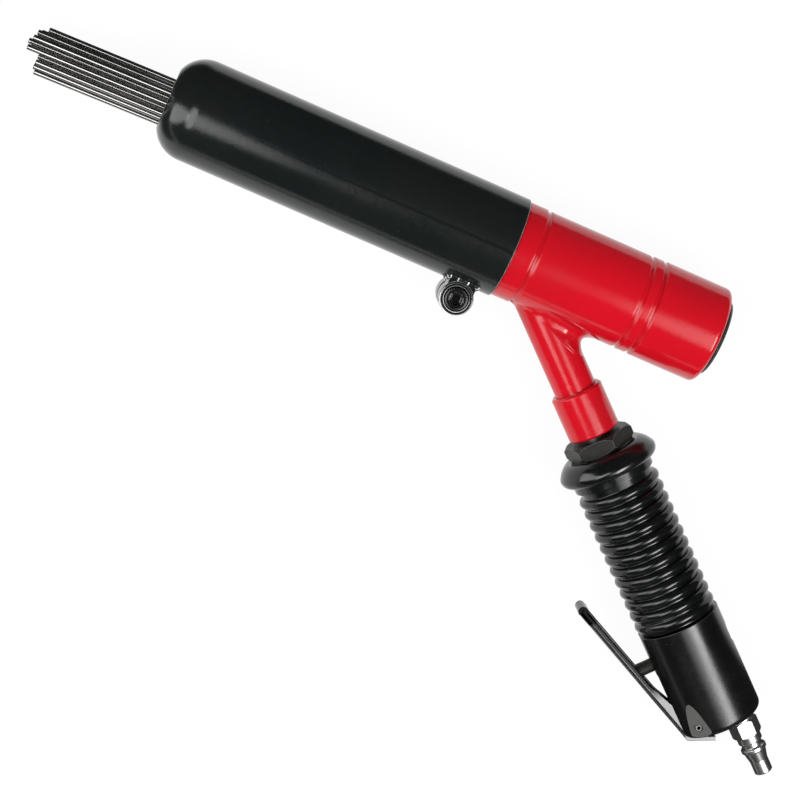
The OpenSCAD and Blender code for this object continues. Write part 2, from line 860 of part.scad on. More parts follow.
// Ribbed rubber sleeve over the pipe
module grip() {
    lip = flange_t * flange_lip_share;
    lip_at = [flange_d / 2 - lip, flange_t - lip];
    color("#17181a")
        handle(grip_at)
            rotate_extrude()
                difference() {
                    union() {
                        square([grip_core_d / 2, grip_end - grip_at]);
                        translate(lip_at) circle(lip);
                        polygon([
                            [0, 0], [grip_core_d / 2, 0],
                            lip_at + lip * [cos(flange_slope), -sin(flange_slope)],
                            [lip_at[0], flange_t], [0, flange_t]
                        ]);
                        translate([0, flange_t / 2])
                            square([grip_collar_d / 2, flange_t / 2 + grip_collar_len]);
                        for (k = [0 : rib_count - 1])
                            translate([rib_d / 2 - rib_r, rib_at - grip_at + k * rib_pitch]) circle(rib_r);
                        translate([0, grip_end - grip_at])
                            mirror([0, 1]) round_end(tail_d / 2, tail_len, 2 * chamfer);
                    }
                    translate([0, -overrun]) square([pipe_od / 2 + fit, grip_end - grip_at + 2 * overrun]);
                }
}

// Plane cut on the lever side of the valve body, turned about the handle
module side_cut(turn, lat, lean = 0) {
    handle(valve_end)
        rotate([0, 0, turn])
            translate([0, -lat, 0])
                rotate([-lean, 0, 0])
                    translate([-valve_d, -valve_d, -2 * valve_len])
                        cube([2 * valve_d, valve_d, 3 * valve_len]);
}

module valve_body() {
    color("#1a1b1c")
        difference() {
            handle(valve_end) mirror([0, 0, 1]) rotate_extrude() round_end(valve_r, valve_len, valve_round);
            side_cut(0, flat_lat);
            for (side = [-1, 1]) {
                side_cut(side * bevel_turn, valve_r - bevel_depth);
                side_cut(side * spot_turn, valve_r - spot_depth, atan(spot_depth / spot_len));
            }
            handle_plane()
                translate([0, 0, -slot_w / 2])
                    linear_extrude(slot_w)
                        polygon([
                            [slot_top, -flat_lat], [slot_top + slot_ramp, -slot_floor],
                            [valve_end + overrun, -slot_floor], [valve_end + overrun, -valve_d],
                            [slot_top, -valve_d]
                        ]);
            handle_plane()
                translate([pivot_h, -pivot_lat, -valve_d]) cylinder(d = pin_d + fit, h = 2 * valve_d);
            handle(valve_at - overrun)
                cylinder(d = pipe_od + 2 * thread_gap, h = pipe_depth + overrun + seat_gap);
            throttle() cylinder(d = plunger_d + 2 * fit, h = valve_d);
            throttle(valve_seat_lat) cylinder(d = seat_bore_d, h = guide_lat - valve_seat_lat);
            throttle(-valve_d) cylinder(d = chamber_d, h = valve_d + valve_seat_lat);
            throttle(-valve_d)
                cylinder(d = plug_screw_d, h = valve_d - valve_r + plug_screw_len + plug_screw_sink);
            handle(plunger_h) translate([0, inlet_off, 0]) cylinder(d = inlet_bore_d, h = valve_len);
            handle(valve_end - inlet_depth)
                translate([0, inlet_off, 0]) cylinder(d = inlet_d, h = inlet_depth + overrun);
            handle(pipe_end - overrun)
                translate([0, -outlet_lat, 0]) cylinder(d = outlet_d, h = plunger_h - pipe_end + overrun);
            throttle(plunger_seal_lat)
                rotate_extrude()
                    translate([plunger_r - seat_gap, -plunger_seal_cord / 2 - seat_gap])
                        square([plunger_seal_cord + 3 * seat_gap, plunger_seal_cord + 2 * seat_gap]);
        }
}

// Section across the lever's arm: a shallow channel with bent edges
module arm_section() {
    top = lever_stand + lever_t;
    difference() {
        union() {
            translate([-lever_w / 2, lever_stand - rim_h]) square([lever_w, rim_h + lever_t - bend_r]);
            translate([bend_r - lever_w / 2, lever_stand - rim_h])
                square([lever_w - 2 * bend_r, rim_h + lever_t]);
            for (side = [-1, 1])
                translate([side * (lever_w / 2 - bend_r), top - bend_r]) circle(bend_r);
        }
        translate([lever_t - lever_w / 2, lever_stand - rim_h - overrun])
            square([lever_w - 2 * lever_t, rim_h + overrun]);
    }
}

// Side view of the lever's foot and turned tip
module lever_ends() {
    translate([heel_u, lever_stand]) {
        circle(lever_t);
        rotate(180 + foot_bend) translate([0, -lever_t]) square([foot_len, lever_t]);
    }
    intersection() {
        translate([tip_u, lever_stand - curl_r])
            difference() {
                circle(curl_r + lever_t);
                circle(curl_r);
            }
        translate([tip_u, lever_stand - lever_len / 2]) square(lever_len);
    }
    translate([tip_u - curl_back, lever_stand - 2 * curl_r - lever_t]) square([curl_back, lever_t]);
}

// Side view of one ear
module lever_ear() {
    circle(ear_r);
    polygon([
        [ear_len, lever_stand + lever_t - bend_r], [ear_len, lever_stand - rim_h],
        [ear_len * ear_mid_shares[0], lever_stand * ear_mid_shares[1]],
        ear_r * ear_foot_shares, [-ear_r, 0], [heel_u, lever_stand + lever_t - bend_r]
    ]);
}

module lever() {
    color("#3a3c3e")
        lever_frame()
            difference() {
                union() {
                    translate([heel_u, 0, 0]) rotate([0, 90, 0])
                        linear_extrude(tip_u - heel_u) arm_section();
                    translate([0, 0, -lever_w / 2]) linear_extrude(lever_w) lever_ends();
                    for (z = [-lever_w / 2, lever_w / 2 - lever_t])
                        translate([0, 0, z]) linear_extrude(lever_t) lever_ear();
                }
                translate([0, 0, -lever_w]) cylinder(d = pin_d + 2 * fit, h = 2 * lever_w);
            }
}

// Rolled spring pin
module lever_pin() {
    color("#8b8e90")
        handle_plane()
            translate([pivot_h, -pivot_lat, -pin_len / 2]) sleeve(pin_d, pin_d / 2, pin_len, chamfer / 2);
}

module plunger() {
    color("#4a4c4e")
        throttle() {
            intersection() {
                translate([0, 0, guide_lat - fit]) cylinder(d = plunger_d, h = web_lat);
                translate([0, 0, dome_lat]) sphere(dome_r);
            }
            translate([0, 0, guide_lat - fit]) cylinder(d = plunger_d, h = dome_lat - guide_lat);
            translate([0, 0, valve_seat_lat - fit])
                cylinder(d = stem_d, h = guide_lat - valve_seat_lat + 2 * fit);
        }
}

module plunger_seal() {
    color("#202122")
        throttle(plunger_seal_lat)
            rotate_extrude()
                translate([plunger_r + fit + plunger_seal_cord / 2, 0]) circle(d = plunger_seal_cord);
}

module poppet() {
    color("#9b8448") throttle(valve_seat_lat - fit - poppet_t) rod(poppet_d, poppet_t, chamfer);
}

module throttle_spring() {
    rear = -valve_r + plug_screw_sink + plug_screw_len + seat_gap;
    length = valve_seat_lat - poppet_t - 2 * seat_gap - rear;
    color("#8b8e90") throttle(rear) coil(throttle_r, length, throttle_wire, throttle_turns);
    echo(throttle_spring_gap = coil_gap(throttle_r, length, throttle_wire, throttle_turns));
}

module valve_plug() {
    key = chamber_d / 2;
    color("#2b2d2f")
        throttle(-valve_r + plug_screw_sink)
            difference() {
                rod(plug_screw_d - 2 * thread_gap, plug_screw_len, chamfer / 2);
                translate([0, 0, -overrun])
                    cylinder(d = key * 2 / sqrt(3), h = overrun + plug_screw_len / 2, $fn = 6);
            }
}

module seal_washer() {
    color("#a9773b")
        handle(valve_end)
            translate([0, inlet_off, 0])
                sleeve(inlet_d + 2 * washer_rim, inlet_d, washer_t - seat_gap / 2, chamfer / 2);
}

module air_plug() {
    thread = inlet_depth - thread_start;
    color("#c9ccce")
        handle()
            translate([0, inlet_off, 0])
                difference() {
                    union() {
                        translate([0, 0, valve_end - thread])
                            rod(inlet_d - 2 * thread_gap, thread + washer_t + chamfer);
                        translate([0, 0, valve_end + washer_t]) rod(hex_af, hex_stand + chamfer);
                        translate([0, 0, hex_at]) rotate([0, 0, hex_turn]) hexagon(hex_af, hex_len);
                        translate([0, 0, step_at - chamfer]) rod(step_d, step_len + chamfer);
                        translate([0, 0, lock_at - chamfer])
                            cylinder(d = lock_d, h = lock_len + 2 * chamfer);
                        translate([0, 0, ridge_at]) rod(ridge_d, ridge_len);
                        translate([0, 0, taper_at - chamfer])
                            cylinder(d1 = ridge_d - 2 * chamfer, d2 = tip_d, h = taper_len + chamfer);
                        translate([0, 0, tip_at - chamfer]) rod(tip_d, tip_len + 2 * chamfer);
                    }
                    cylinder(d = air_bore, h = tip_end + overrun);
                }
}

// Wire gauze cup in the inlet
module inlet_filter() {
    wall = 0.6;
    color("#b9bbbc")
        handle(valve_end - inlet_depth - filter_len)
            translate([0, inlet_off, 0])
                difference() {
                    union() {
                        rod(inlet_bore_d - 2 * fit, filter_len, wall / 2);
                        translate([0, 0, filter_len]) rod(inlet_d - 2 * part_gap, wall, wall / 3);
                    }
                    translate([0, 0, wall])
                        cylinder(d = inlet_bore_d - 2 * fit - 2 * wall, h = filter_len + overrun);
                }
}

needle_tube();
clamp_screw();
nose_ring();
needle_spring();
needle_holder();
anvil();
anvil_bush();
cylinder_liner();
piston();
valve_seat();
valve_disc();
valve_chest();
rear_plug();
rear_seal();
body();
handle_socket();
lock_nut();
handle_pipe();
grip();
valve_body();
lever();
lever_pin();
plunger();
plunger_seal();
poppet();
throttle_spring();
valve_plug();
seal_washer();
air_plug();
inlet_filter();
for (i = [0 : len(needle_cells) - 1])
    needle(i);
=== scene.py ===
import json
import math

import bmesh
import bpy
import numpy as np
from mathutils import Matrix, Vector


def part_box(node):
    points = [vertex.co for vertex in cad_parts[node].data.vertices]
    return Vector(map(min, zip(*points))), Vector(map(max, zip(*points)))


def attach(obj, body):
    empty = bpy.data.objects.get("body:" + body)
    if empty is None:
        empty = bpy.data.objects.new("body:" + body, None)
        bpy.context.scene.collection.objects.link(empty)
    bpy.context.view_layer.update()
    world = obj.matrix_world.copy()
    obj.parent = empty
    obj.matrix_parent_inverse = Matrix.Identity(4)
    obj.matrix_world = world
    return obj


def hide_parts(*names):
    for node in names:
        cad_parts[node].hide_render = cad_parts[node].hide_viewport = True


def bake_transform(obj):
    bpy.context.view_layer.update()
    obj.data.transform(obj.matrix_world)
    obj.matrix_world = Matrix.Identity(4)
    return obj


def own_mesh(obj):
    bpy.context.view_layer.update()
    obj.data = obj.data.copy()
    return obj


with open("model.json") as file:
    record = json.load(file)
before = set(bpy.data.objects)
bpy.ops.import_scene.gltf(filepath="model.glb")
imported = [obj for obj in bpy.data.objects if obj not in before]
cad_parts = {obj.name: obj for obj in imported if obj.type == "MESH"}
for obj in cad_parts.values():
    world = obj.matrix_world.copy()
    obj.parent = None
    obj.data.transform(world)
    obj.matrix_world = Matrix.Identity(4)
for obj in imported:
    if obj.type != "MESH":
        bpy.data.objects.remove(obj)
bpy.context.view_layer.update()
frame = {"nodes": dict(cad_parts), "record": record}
scene = bpy.context.scene
nodes = frame["nodes"]
inlet = frame["record"]["mounts"][0]
upward = np.array([0.0, 0.0, 1.0])
print("frame loaded,", len(nodes), "nodes")

# camera, fitted to the outline of the photograph
shot = {
    "aim": (-0.00924, -0.00632, 0.028),
    "lean": (-0.12409, 0.13526, 1.0),
    "distance": 1.5,
    "roll": 0.40809,
    "focal": 2757.8, "frame": 800,  # both in pixels
    "sensor": 36, "far": 20,
}


def standing(x, y, z, place):  # the matrix of an object with these axes at that place
    return Matrix([(x[i], y[i], z[i], place[i]) for i in range(3)] + [(0, 0, 0, 1)])


def placeCamera(s):
    back = np.array(s["lean"]) / np.linalg.norm(s["lean"])
    right = np.array([math.cos(s["roll"]), math.sin(s["roll"]), 0.0])
    right -= back * (right @ back)
    right /= np.linalg.norm(right)
    up = np.cross(back, right)
    cam = bpy.data.cameras.new("shot")
    cam.sensor_width = s["sensor"]
    cam.lens = s["focal"] * s["sensor"] / s["frame"]
    cam.clip_end = s["far"]
    obj = bpy.data.objects.new("shot", cam)
    place = np.array(s["aim"]) + s["distance"] * back
    obj.matrix_world = standing(right, up, back, place)
    scene.collection.objects.link(obj)
    scene.camera = obj


placeCamera(shot)
print("camera placed")


# node helpers
def emptyTree(holder):  # of a material or a world
    holder.use_nodes = True
    holder.node_tree.nodes.clear()
    return holder.node_tree


def addNode(tree, kind, **values):  # a value is a property of the node, or else an input
    node = tree.nodes.new(kind)
    for key, value in values.items():
        if hasattr(node, key):
            setattr(node, key, value)
        else:
            node.inputs[key.replace("_", " ")].default_value = value
    return node


def newGroup(name, inputs, outputs):
    group = bpy.data.node_groups.new(name, "ShaderNodeTree")
    for label, kind, value in inputs:
        socket = group.interface.new_socket(name=label, in_out="INPUT", socket_type=kind)
        if value is not None:
            socket.default_value = value
    for label, kind in outputs:
        group.interface.new_socket(name=label, in_out="OUTPUT", socket_type=kind)
    return group, group.nodes.new("NodeGroupInput"), group.nodes.new("NodeGroupOutput")


def placeGroup(tree, group, **values):
    node = tree.nodes.new("ShaderNodeGroup")
    node.node_tree = group
    for key, value in values.items():
        node.inputs[key].default_value = value
    return node


# a film of paint or moulding skin: slow waves and fine grit
def buildSkin():
    group, ins, outs = newGroup("filmSkin", [
        ("Vector", "NodeSocketVector", None), ("WaveScale", "NodeSocketFloat", 300.0),
        ("GritScale", "NodeSocketFloat", 2200.0), ("GritShare", "NodeSocketFloat", 0.4),
    ], [("Height", "NodeSocketFloat")])
    wave = addNode(group, "ShaderNodeTexNoise", Detail=1.5)
    grit = addNode(group, "ShaderNodeTexNoise", Detail=3.0)
    mix = addNode(group, "ShaderNodeMix", data_type="FLOAT")
    links = group.links
    links.new(ins.outputs["Vector"], wave.inputs["Vector"])
    links.new(ins.outputs["Vector"], grit.inputs["Vector"])
    links.new(ins.outputs["WaveScale"], wave.inputs["Scale"])
    links.new(ins.outputs["GritScale"], grit.inputs["Scale"])
    links.new(ins.outputs["GritShare"], mix.inputs["Factor"])
    links.new(wave.outputs["Fac"], mix.inputs[2])
    links.new(grit.outputs["Fac"], mix.inputs[3])
    links.new(mix.outputs[0], outs.inputs["Height"])
    return group


# smears and dust: broad patches broken up by a finer noise
def buildSmears():
    group, ins, outs = newGroup("handSmears", [
        ("Vector", "NodeSocketVector", None), ("PatchScale", "NodeSocketFloat", 22.0),
        ("BreakScale", "NodeSocketFloat", 260.0), ("Low", "NodeSocketFloat", 0.45),
        ("High", "NodeSocketFloat", 0.75),
    ], [("Mask", "NodeSocketFloat")])
    patch = addNode(group, "ShaderNodeTexNoise", Detail=4.0, Distortion=0.6)
    fine = addNode(group, "ShaderNodeTexNoise", Detail=6.0)
    times = addNode(group, "ShaderNodeMath", operation="MULTIPLY_ADD")
    times.inputs[1].default_value = 0.45  # weight of the finer noise
    span = addNode(group, "ShaderNodeMapRange", interpolation_type="SMOOTHSTEP")
    links = group.links
    links.new(ins.outputs["Vector"], patch.inputs["Vector"])
    links.new(ins.outputs["Vector"], fine.inputs["Vector"])
    links.new(ins.outputs["PatchScale"], patch.inputs["Scale"])
    links.new(ins.outputs["BreakScale"], fine.inputs["Scale"])
    links.new(fine.outputs["Fac"], times.inputs[0])
    links.new(patch.outputs["Fac"], times.inputs[2])
    links.new(times.outputs[0], span.inputs["Value"])
    links.new(ins.outputs["Low"], span.inputs["From Min"])
    links.new(ins.outputs["High"], span.inputs["From Max"])
    links.new(span.outputs["Result"], outs.inputs["Mask"])
    return group


# tool marks: a noise drawn out along one axis of the vector it is given
def buildMarks():
    group, ins, outs = newGroup("toolMarks", [
        ("Vector", "NodeSocketVector", None), ("Stretch", "NodeSocketVector", (20.0, 2500.0, 2500.0)),
    ], [("Line", "NodeSocketFloat"), ("Stain", "NodeSocketFloat")])
    scaled = addNode(group, "ShaderNodeVectorMath", operation="MULTIPLY")
    lines = addNode(group, "ShaderNodeTexNoise", Scale=1.0, Detail=3.0, Roughness=0.6)
    stain = addNode(group, "ShaderNodeTexNoise", Scale=60.0, Detail=4.0)
    links = group.links
    links.new(ins.outputs["Vector"], scaled.inputs[0])
    links.new(ins.outputs["Stretch"], scaled.inputs[1])
    links.new(scaled.outputs[0], lines.inputs["Vector"])
    links.new(ins.outputs["Vector"], stain.inputs["Vector"])
    links.new(lines.outputs["Fac"], outs.inputs["Line"])
    links.new(stain.outputs["Fac"], outs.inputs["Stain"])
    return group


# specks: small round spots of a cell pattern, thinned out by a noise; dust on most finishes, painted glints on
# the weld
def buildSpecks():
    group, ins, outs = newGroup("dustAndGlintSpecks", [
        ("Vector", "NodeSocketVector", None), ("Scale", "NodeSocketFloat", 300.0),
        ("Share", "NodeSocketFloat", 0.05),
    ], [("Mask", "NodeSocketFloat")])
    cells = addNode(group, "ShaderNodeTexVoronoi", feature="F1")
    spot = addNode(group, "ShaderNodeMapRange", From_Min=0.22, From_Max=0.12)  # soft edge, shares of a cell
    pick = addNode(group, "ShaderNodeSeparateColor")
    keep = addNode(group, "ShaderNodeMath", operation="LESS_THAN")
    both = addNode(group, "ShaderNodeMath", operation="MULTIPLY")
    links = group.links
    links.new(ins.outputs["Vector"], cells.inputs["Vector"])
    links.new(ins.outputs["Scale"], cells.inputs["Scale"])
    links.new(cells.outputs["Distance"], spot.inputs["Value"])
    links.new(cells.outputs["Color"], pick.inputs[0])
    links.new(pick.outputs[0], keep.inputs[0])
    links.new(ins.outputs["Share"], keep.inputs[1])
    links.new(spot.outputs["Result"], both.inputs[0])
    links.new(keep.outputs[0], both.inputs[1])
    links.new(both.outputs[0], outs.inputs["Mask"])
    return group


filmSkin = buildSkin()
handSmears = buildSmears()
toolMarks = buildMarks()
dustAndGlintSpecks = buildSpecks()
print("effect groups built")


def newFinish(name):
    mat = bpy.data.materials.new(name)
    tree = emptyTree(mat)
    out = tree.nodes.new("ShaderNodeOutputMaterial")
    shader = tree.nodes.new("ShaderNodeBsdfPrincipled")
    tree.links.new(shader.outputs[0], out.inputs[0])
    coords = tree.nodes.new("ShaderNodeTexCoord")
    return mat, tree, shader, coords.outputs["Object"]


def mixColours(tree, mask, first, second):
    mix = addNode(tree, "ShaderNodeMix", data_type="RGBA")
    tree.links.new(mask, mix.inputs["Factor"])
    for socket, colour in ((mix.inputs[6], first), (mix.inputs[7], second)):
        if isinstance(colour, tuple):
            socket.default_value = (*colour, 1)
        else:
            tree.links.new(colour, socket)
    return mix.outputs[2]


def spread(tree, value, low, high):
    span = addNode(tree, "ShaderNodeMapRange")
    span.inputs["To Min"].default_value = low
    span.inputs["To Max"].default_value = high
    tree.links.new(value, span.inputs["Value"])
    return span.outputs["Result"]


def roughen(tree, height, shader, strength, distance):
    bump = addNode(tree, "ShaderNodeBump", Strength=strength, Distance=distance)
    tree.links.new(height, bump.inputs["Height"])
    tree.links.new(bump.outputs["Normal"], shader.inputs["Normal"])
    return bump


# edges: how far the rounded normal leaves the surface's own, broken up by a fine noise
edgeWearAndGlint = {"samples": 6, "noiseScale": 420.0, "from": 0.985, "whole": 0.92}  # the last two are cosines


def edgeMask(tree, where, radius, share):
    bevel = addNode(tree, "ShaderNodeBevel", samples=edgeWearAndGlint["samples"], Radius=radius)
    surface = tree.nodes.new("ShaderNodeNewGeometry")
    meet = addNode(tree, "ShaderNodeVectorMath", operation="DOT_PRODUCT")
    tree.links.new(bevel.outputs["Normal"], meet.inputs[0])
    tree.links.new(surface.outputs["Normal"], meet.inputs[1])
    fine = addNode(tree, "ShaderNodeTexNoise", Scale=edgeWearAndGlint["noiseScale"], Detail=3.0)
    tree.links.new(where, fine.inputs["Vector"])
    less = addNode(tree, "ShaderNodeMath", operation="MULTIPLY_ADD")
    less.inputs[1].default_value = share
    tree.links.new(fine.outputs["Fac"], less.inputs[0])
    tree.links.new(meet.outputs["Value"], less.inputs[2])
    span = addNode(tree, "ShaderNodeMapRange", From_Min=edgeWearAndGlint["from"], From_Max=edgeWearAndGlint["whole"])
    tree.links.new(less.outputs[0], span.inputs["Value"])
    return bevel.outputs["Normal"], span.outputs["Result"]


# flats: where the true normal, its height taken as positive, is the one given
flats = {"near": 0.9995, "exact": 0.99999}  # cosines of the angle that still counts


def facing(tree, normal, nearness):
    surface = tree.nodes.new("ShaderNodeNewGeometry")
    split = tree.nodes.new("ShaderNodeSeparateXYZ")
    join = tree.nodes.new("ShaderNodeCombineXYZ")
    height = addNode(tree, "ShaderNodeMath", operation="ABSOLUTE")
    tree.links.new(surface.outputs["True Normal"], split.inputs[0])
    tree.links.new(split.outputs["Z"], height.inputs[0])
    tree.links.new(split.outputs["X"], join.inputs["X"])
    tree.links.new(split.outputs["Y"], join.inputs["Y"])
    tree.links.new(height.outputs[0], join.inputs["Z"])
    meet = addNode(tree, "ShaderNodeVectorMath", operation="DOT_PRODUCT")
    meet.inputs[1].default_value = tuple(normal)
    tree.links.new(join.outputs[0], meet.inputs[0])
    close = addNode(tree, "ShaderNodeMath", operation="GREATER_THAN")
    close.inputs[1].default_value = nearness
    tree.links.new(meet.outputs["Value"], close.inputs[0])
    return close.outputs[0]


# enamel, blacking or rubber: a film with a slight peel, dust, smears, specks (painted glints on the weld) and
# edges lightened partly by wear and partly as a painted highlight
def makeEnamel(name, e):
    mat, tree, shader, where = newFinish(name)
    skin = placeGroup(tree, filmSkin, WaveScale=e["waveScale"], GritScale=e["gritScale"],
                      GritShare=e["gritShare"])
    smear = placeGroup(tree, handSmears, PatchScale=e["patchScale"], Low=0.5, High=0.95)
    tree.links.new(where, skin.inputs["Vector"])
    tree.links.new(where, smear.inputs["Vector"])
    colour = mixColours(tree, smear.outputs["Mask"], e["colour"], e["smearColour"])
    specks = placeGroup(tree, dustAndGlintSpecks, Scale=e["speckScale"], Share=e["speckShare"])
    tree.links.new(where, specks.inputs["Vector"])
    colour = mixColours(tree, specks.outputs["Mask"], colour, e["speckColour"])
    normal, wornAndLitEdge = edgeMask(tree, where, e["edge"], e.get("edgeShare", 0.05))
    colour = mixColours(tree, wornAndLitEdge, colour, e["edgeColour"])
    # the milled flat round the lever's pin, painted lighter: bare metal and a painted reflection
    if "milled" in e:
        colour = mixColours(tree, facing(tree, e["milled"], flats["near"]), colour, e["milledBareAndSheen"])
    tree.links.new(colour, shader.inputs["Base Color"])
    rough = spread(tree, smear.outputs["Mask"], *e["rough"])
    if "flatRough" in e:  # smoother on the faces that lie flat
        smooth = addNode(tree, "ShaderNodeMix", data_type="FLOAT")
        smooth.inputs[3].default_value = e["flatRough"]
        tree.links.new(facing(tree, upward, flats["exact"]), smooth.inputs[0])
        tree.links.new(rough, smooth.inputs[2])
        rough = smooth.outputs[0]
    tree.links.new(rough, shader.inputs["Roughness"])
    shader.inputs["Specular IOR Level"].default_value = e.get("shine", 0.5)
    bump = roughen(tree, skin.outputs["Height"], shader, e["bump"], e["bumpDepth"])
    tree.links.new(normal, bump.inputs["Normal"])
    return mat


# bare metal: drawn or turned lines in the relief and the roughness, stains in the colour, rounded edges, and on
# the lever painted reflections
lineDepth = 0.0002


def makeMetal(name, m):
    mat, tree, shader, where = newFinish(name)
    turn = addNode(tree, "ShaderNodeMapping")
    turn.inputs["Rotation"].default_value = (0, 0, m.get("turn", 0))
    marks = placeGroup(tree, toolMarks, Stretch=m["stretch"])
    tree.links.new(where, turn.inputs["Vector"])
    tree.links.new(turn.outputs["Vector"], marks.inputs["Vector"])
    colour = mixColours(tree, marks.outputs["Stain"], m["colour"], m["stain"])
    if "paintedDarkFaces" in m:  # painted dark reflection on the faces that face up and down, a paler painted reflection towards the ear, and a painted dark tip
        along = addNode(tree, "ShaderNodeVectorMath", operation="DOT_PRODUCT")
        along.inputs[1].default_value = m["along"]
        tree.links.new(where, along.inputs[0])
        ear = addNode(tree, "ShaderNodeMapRange", From_Min=m["earFrom"], From_Max=m["earFrom"] + m["earSoft"])
        tip = addNode(tree, "ShaderNodeMapRange", From_Min=m["tipTo"] + m["tipSoft"], From_Max=m["tipTo"])
        tree.links.new(along.outputs["Value"], ear.inputs["Value"])
        tree.links.new(along.outputs["Value"], tip.inputs["Value"])
        paintedFaces = mixColours(tree, ear.outputs["Result"], m["paintedDarkFaces"], m["ear"])
        colour = mixColours(tree, facing(tree, upward, flats["near"]), colour, paintedFaces)
        colour = mixColours(tree, tip.outputs["Result"], colour, m["tip"])
    tree.links.new(colour, shader.inputs["Base Color"])
    tree.links.new(spread(tree, marks.outputs["Line"], *m["rough"]), shader.inputs["Roughness"])
    bump = roughen(tree, marks.outputs["Line"], shader, m["bump"], lineDepth)
    shader.inputs["Metallic"].default_value = 1.0
    if "edge" in m:
        bevel = addNode(tree, "ShaderNodeBevel", samples=edgeWearAndGlint["samples"], Radius=m["edge"])
        tree.links.new(bevel.outputs["Normal"], bump.inputs["Normal"])
    return mat


def boxMiddle(node):
    low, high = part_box(node)
    return (np.array(low) + np.array(high)) / 2


alongHandle = np.array(inlet["axis"], dtype=float)
alongHandle /= np.linalg.norm(alongHandle)
if boxMiddle("air_plug") @ alongHandle < boxMiddle("grip") @ alongHandle:
    alongHandle = -alongHandle
acrossHandle = np.cross(upward, alongHandle)
pipeMiddle = boxMiddle("handle_pipe")
barrelMiddle = boxMiddle("anvil")
clampMiddle = boxMiddle("clamp_screw")
spot = {"turn": 52.0, "fall": 1.2, "over": 22.0}  # the milled flat round the lever's pin: degrees, slope
spotTurn, spotLean = math.radians(spot["turn"]), math.atan(spot["fall"] / spot["over"])
spotNormal = math.sin(spotTurn) * upward - math.cos(spotTurn) * acrossHandle
spotNormal = spotNormal * math.cos(spotLean) + alongHandle * math.sin(spotLean)
leverTurn = nodes["lever"].matrix_world.inverted()
leverAlong = np.array(leverTurn.to_3x3()) @ alongHandle  # down the handle in the lever's own axes
leverPoints = np.array([v.co[:] for v in nodes["lever"].data.vertices]) @ leverAlong
handleTurn = math.atan2(-inlet["axis"][1], inlet["axis"][0])  # handle slope, turns its patterns into line

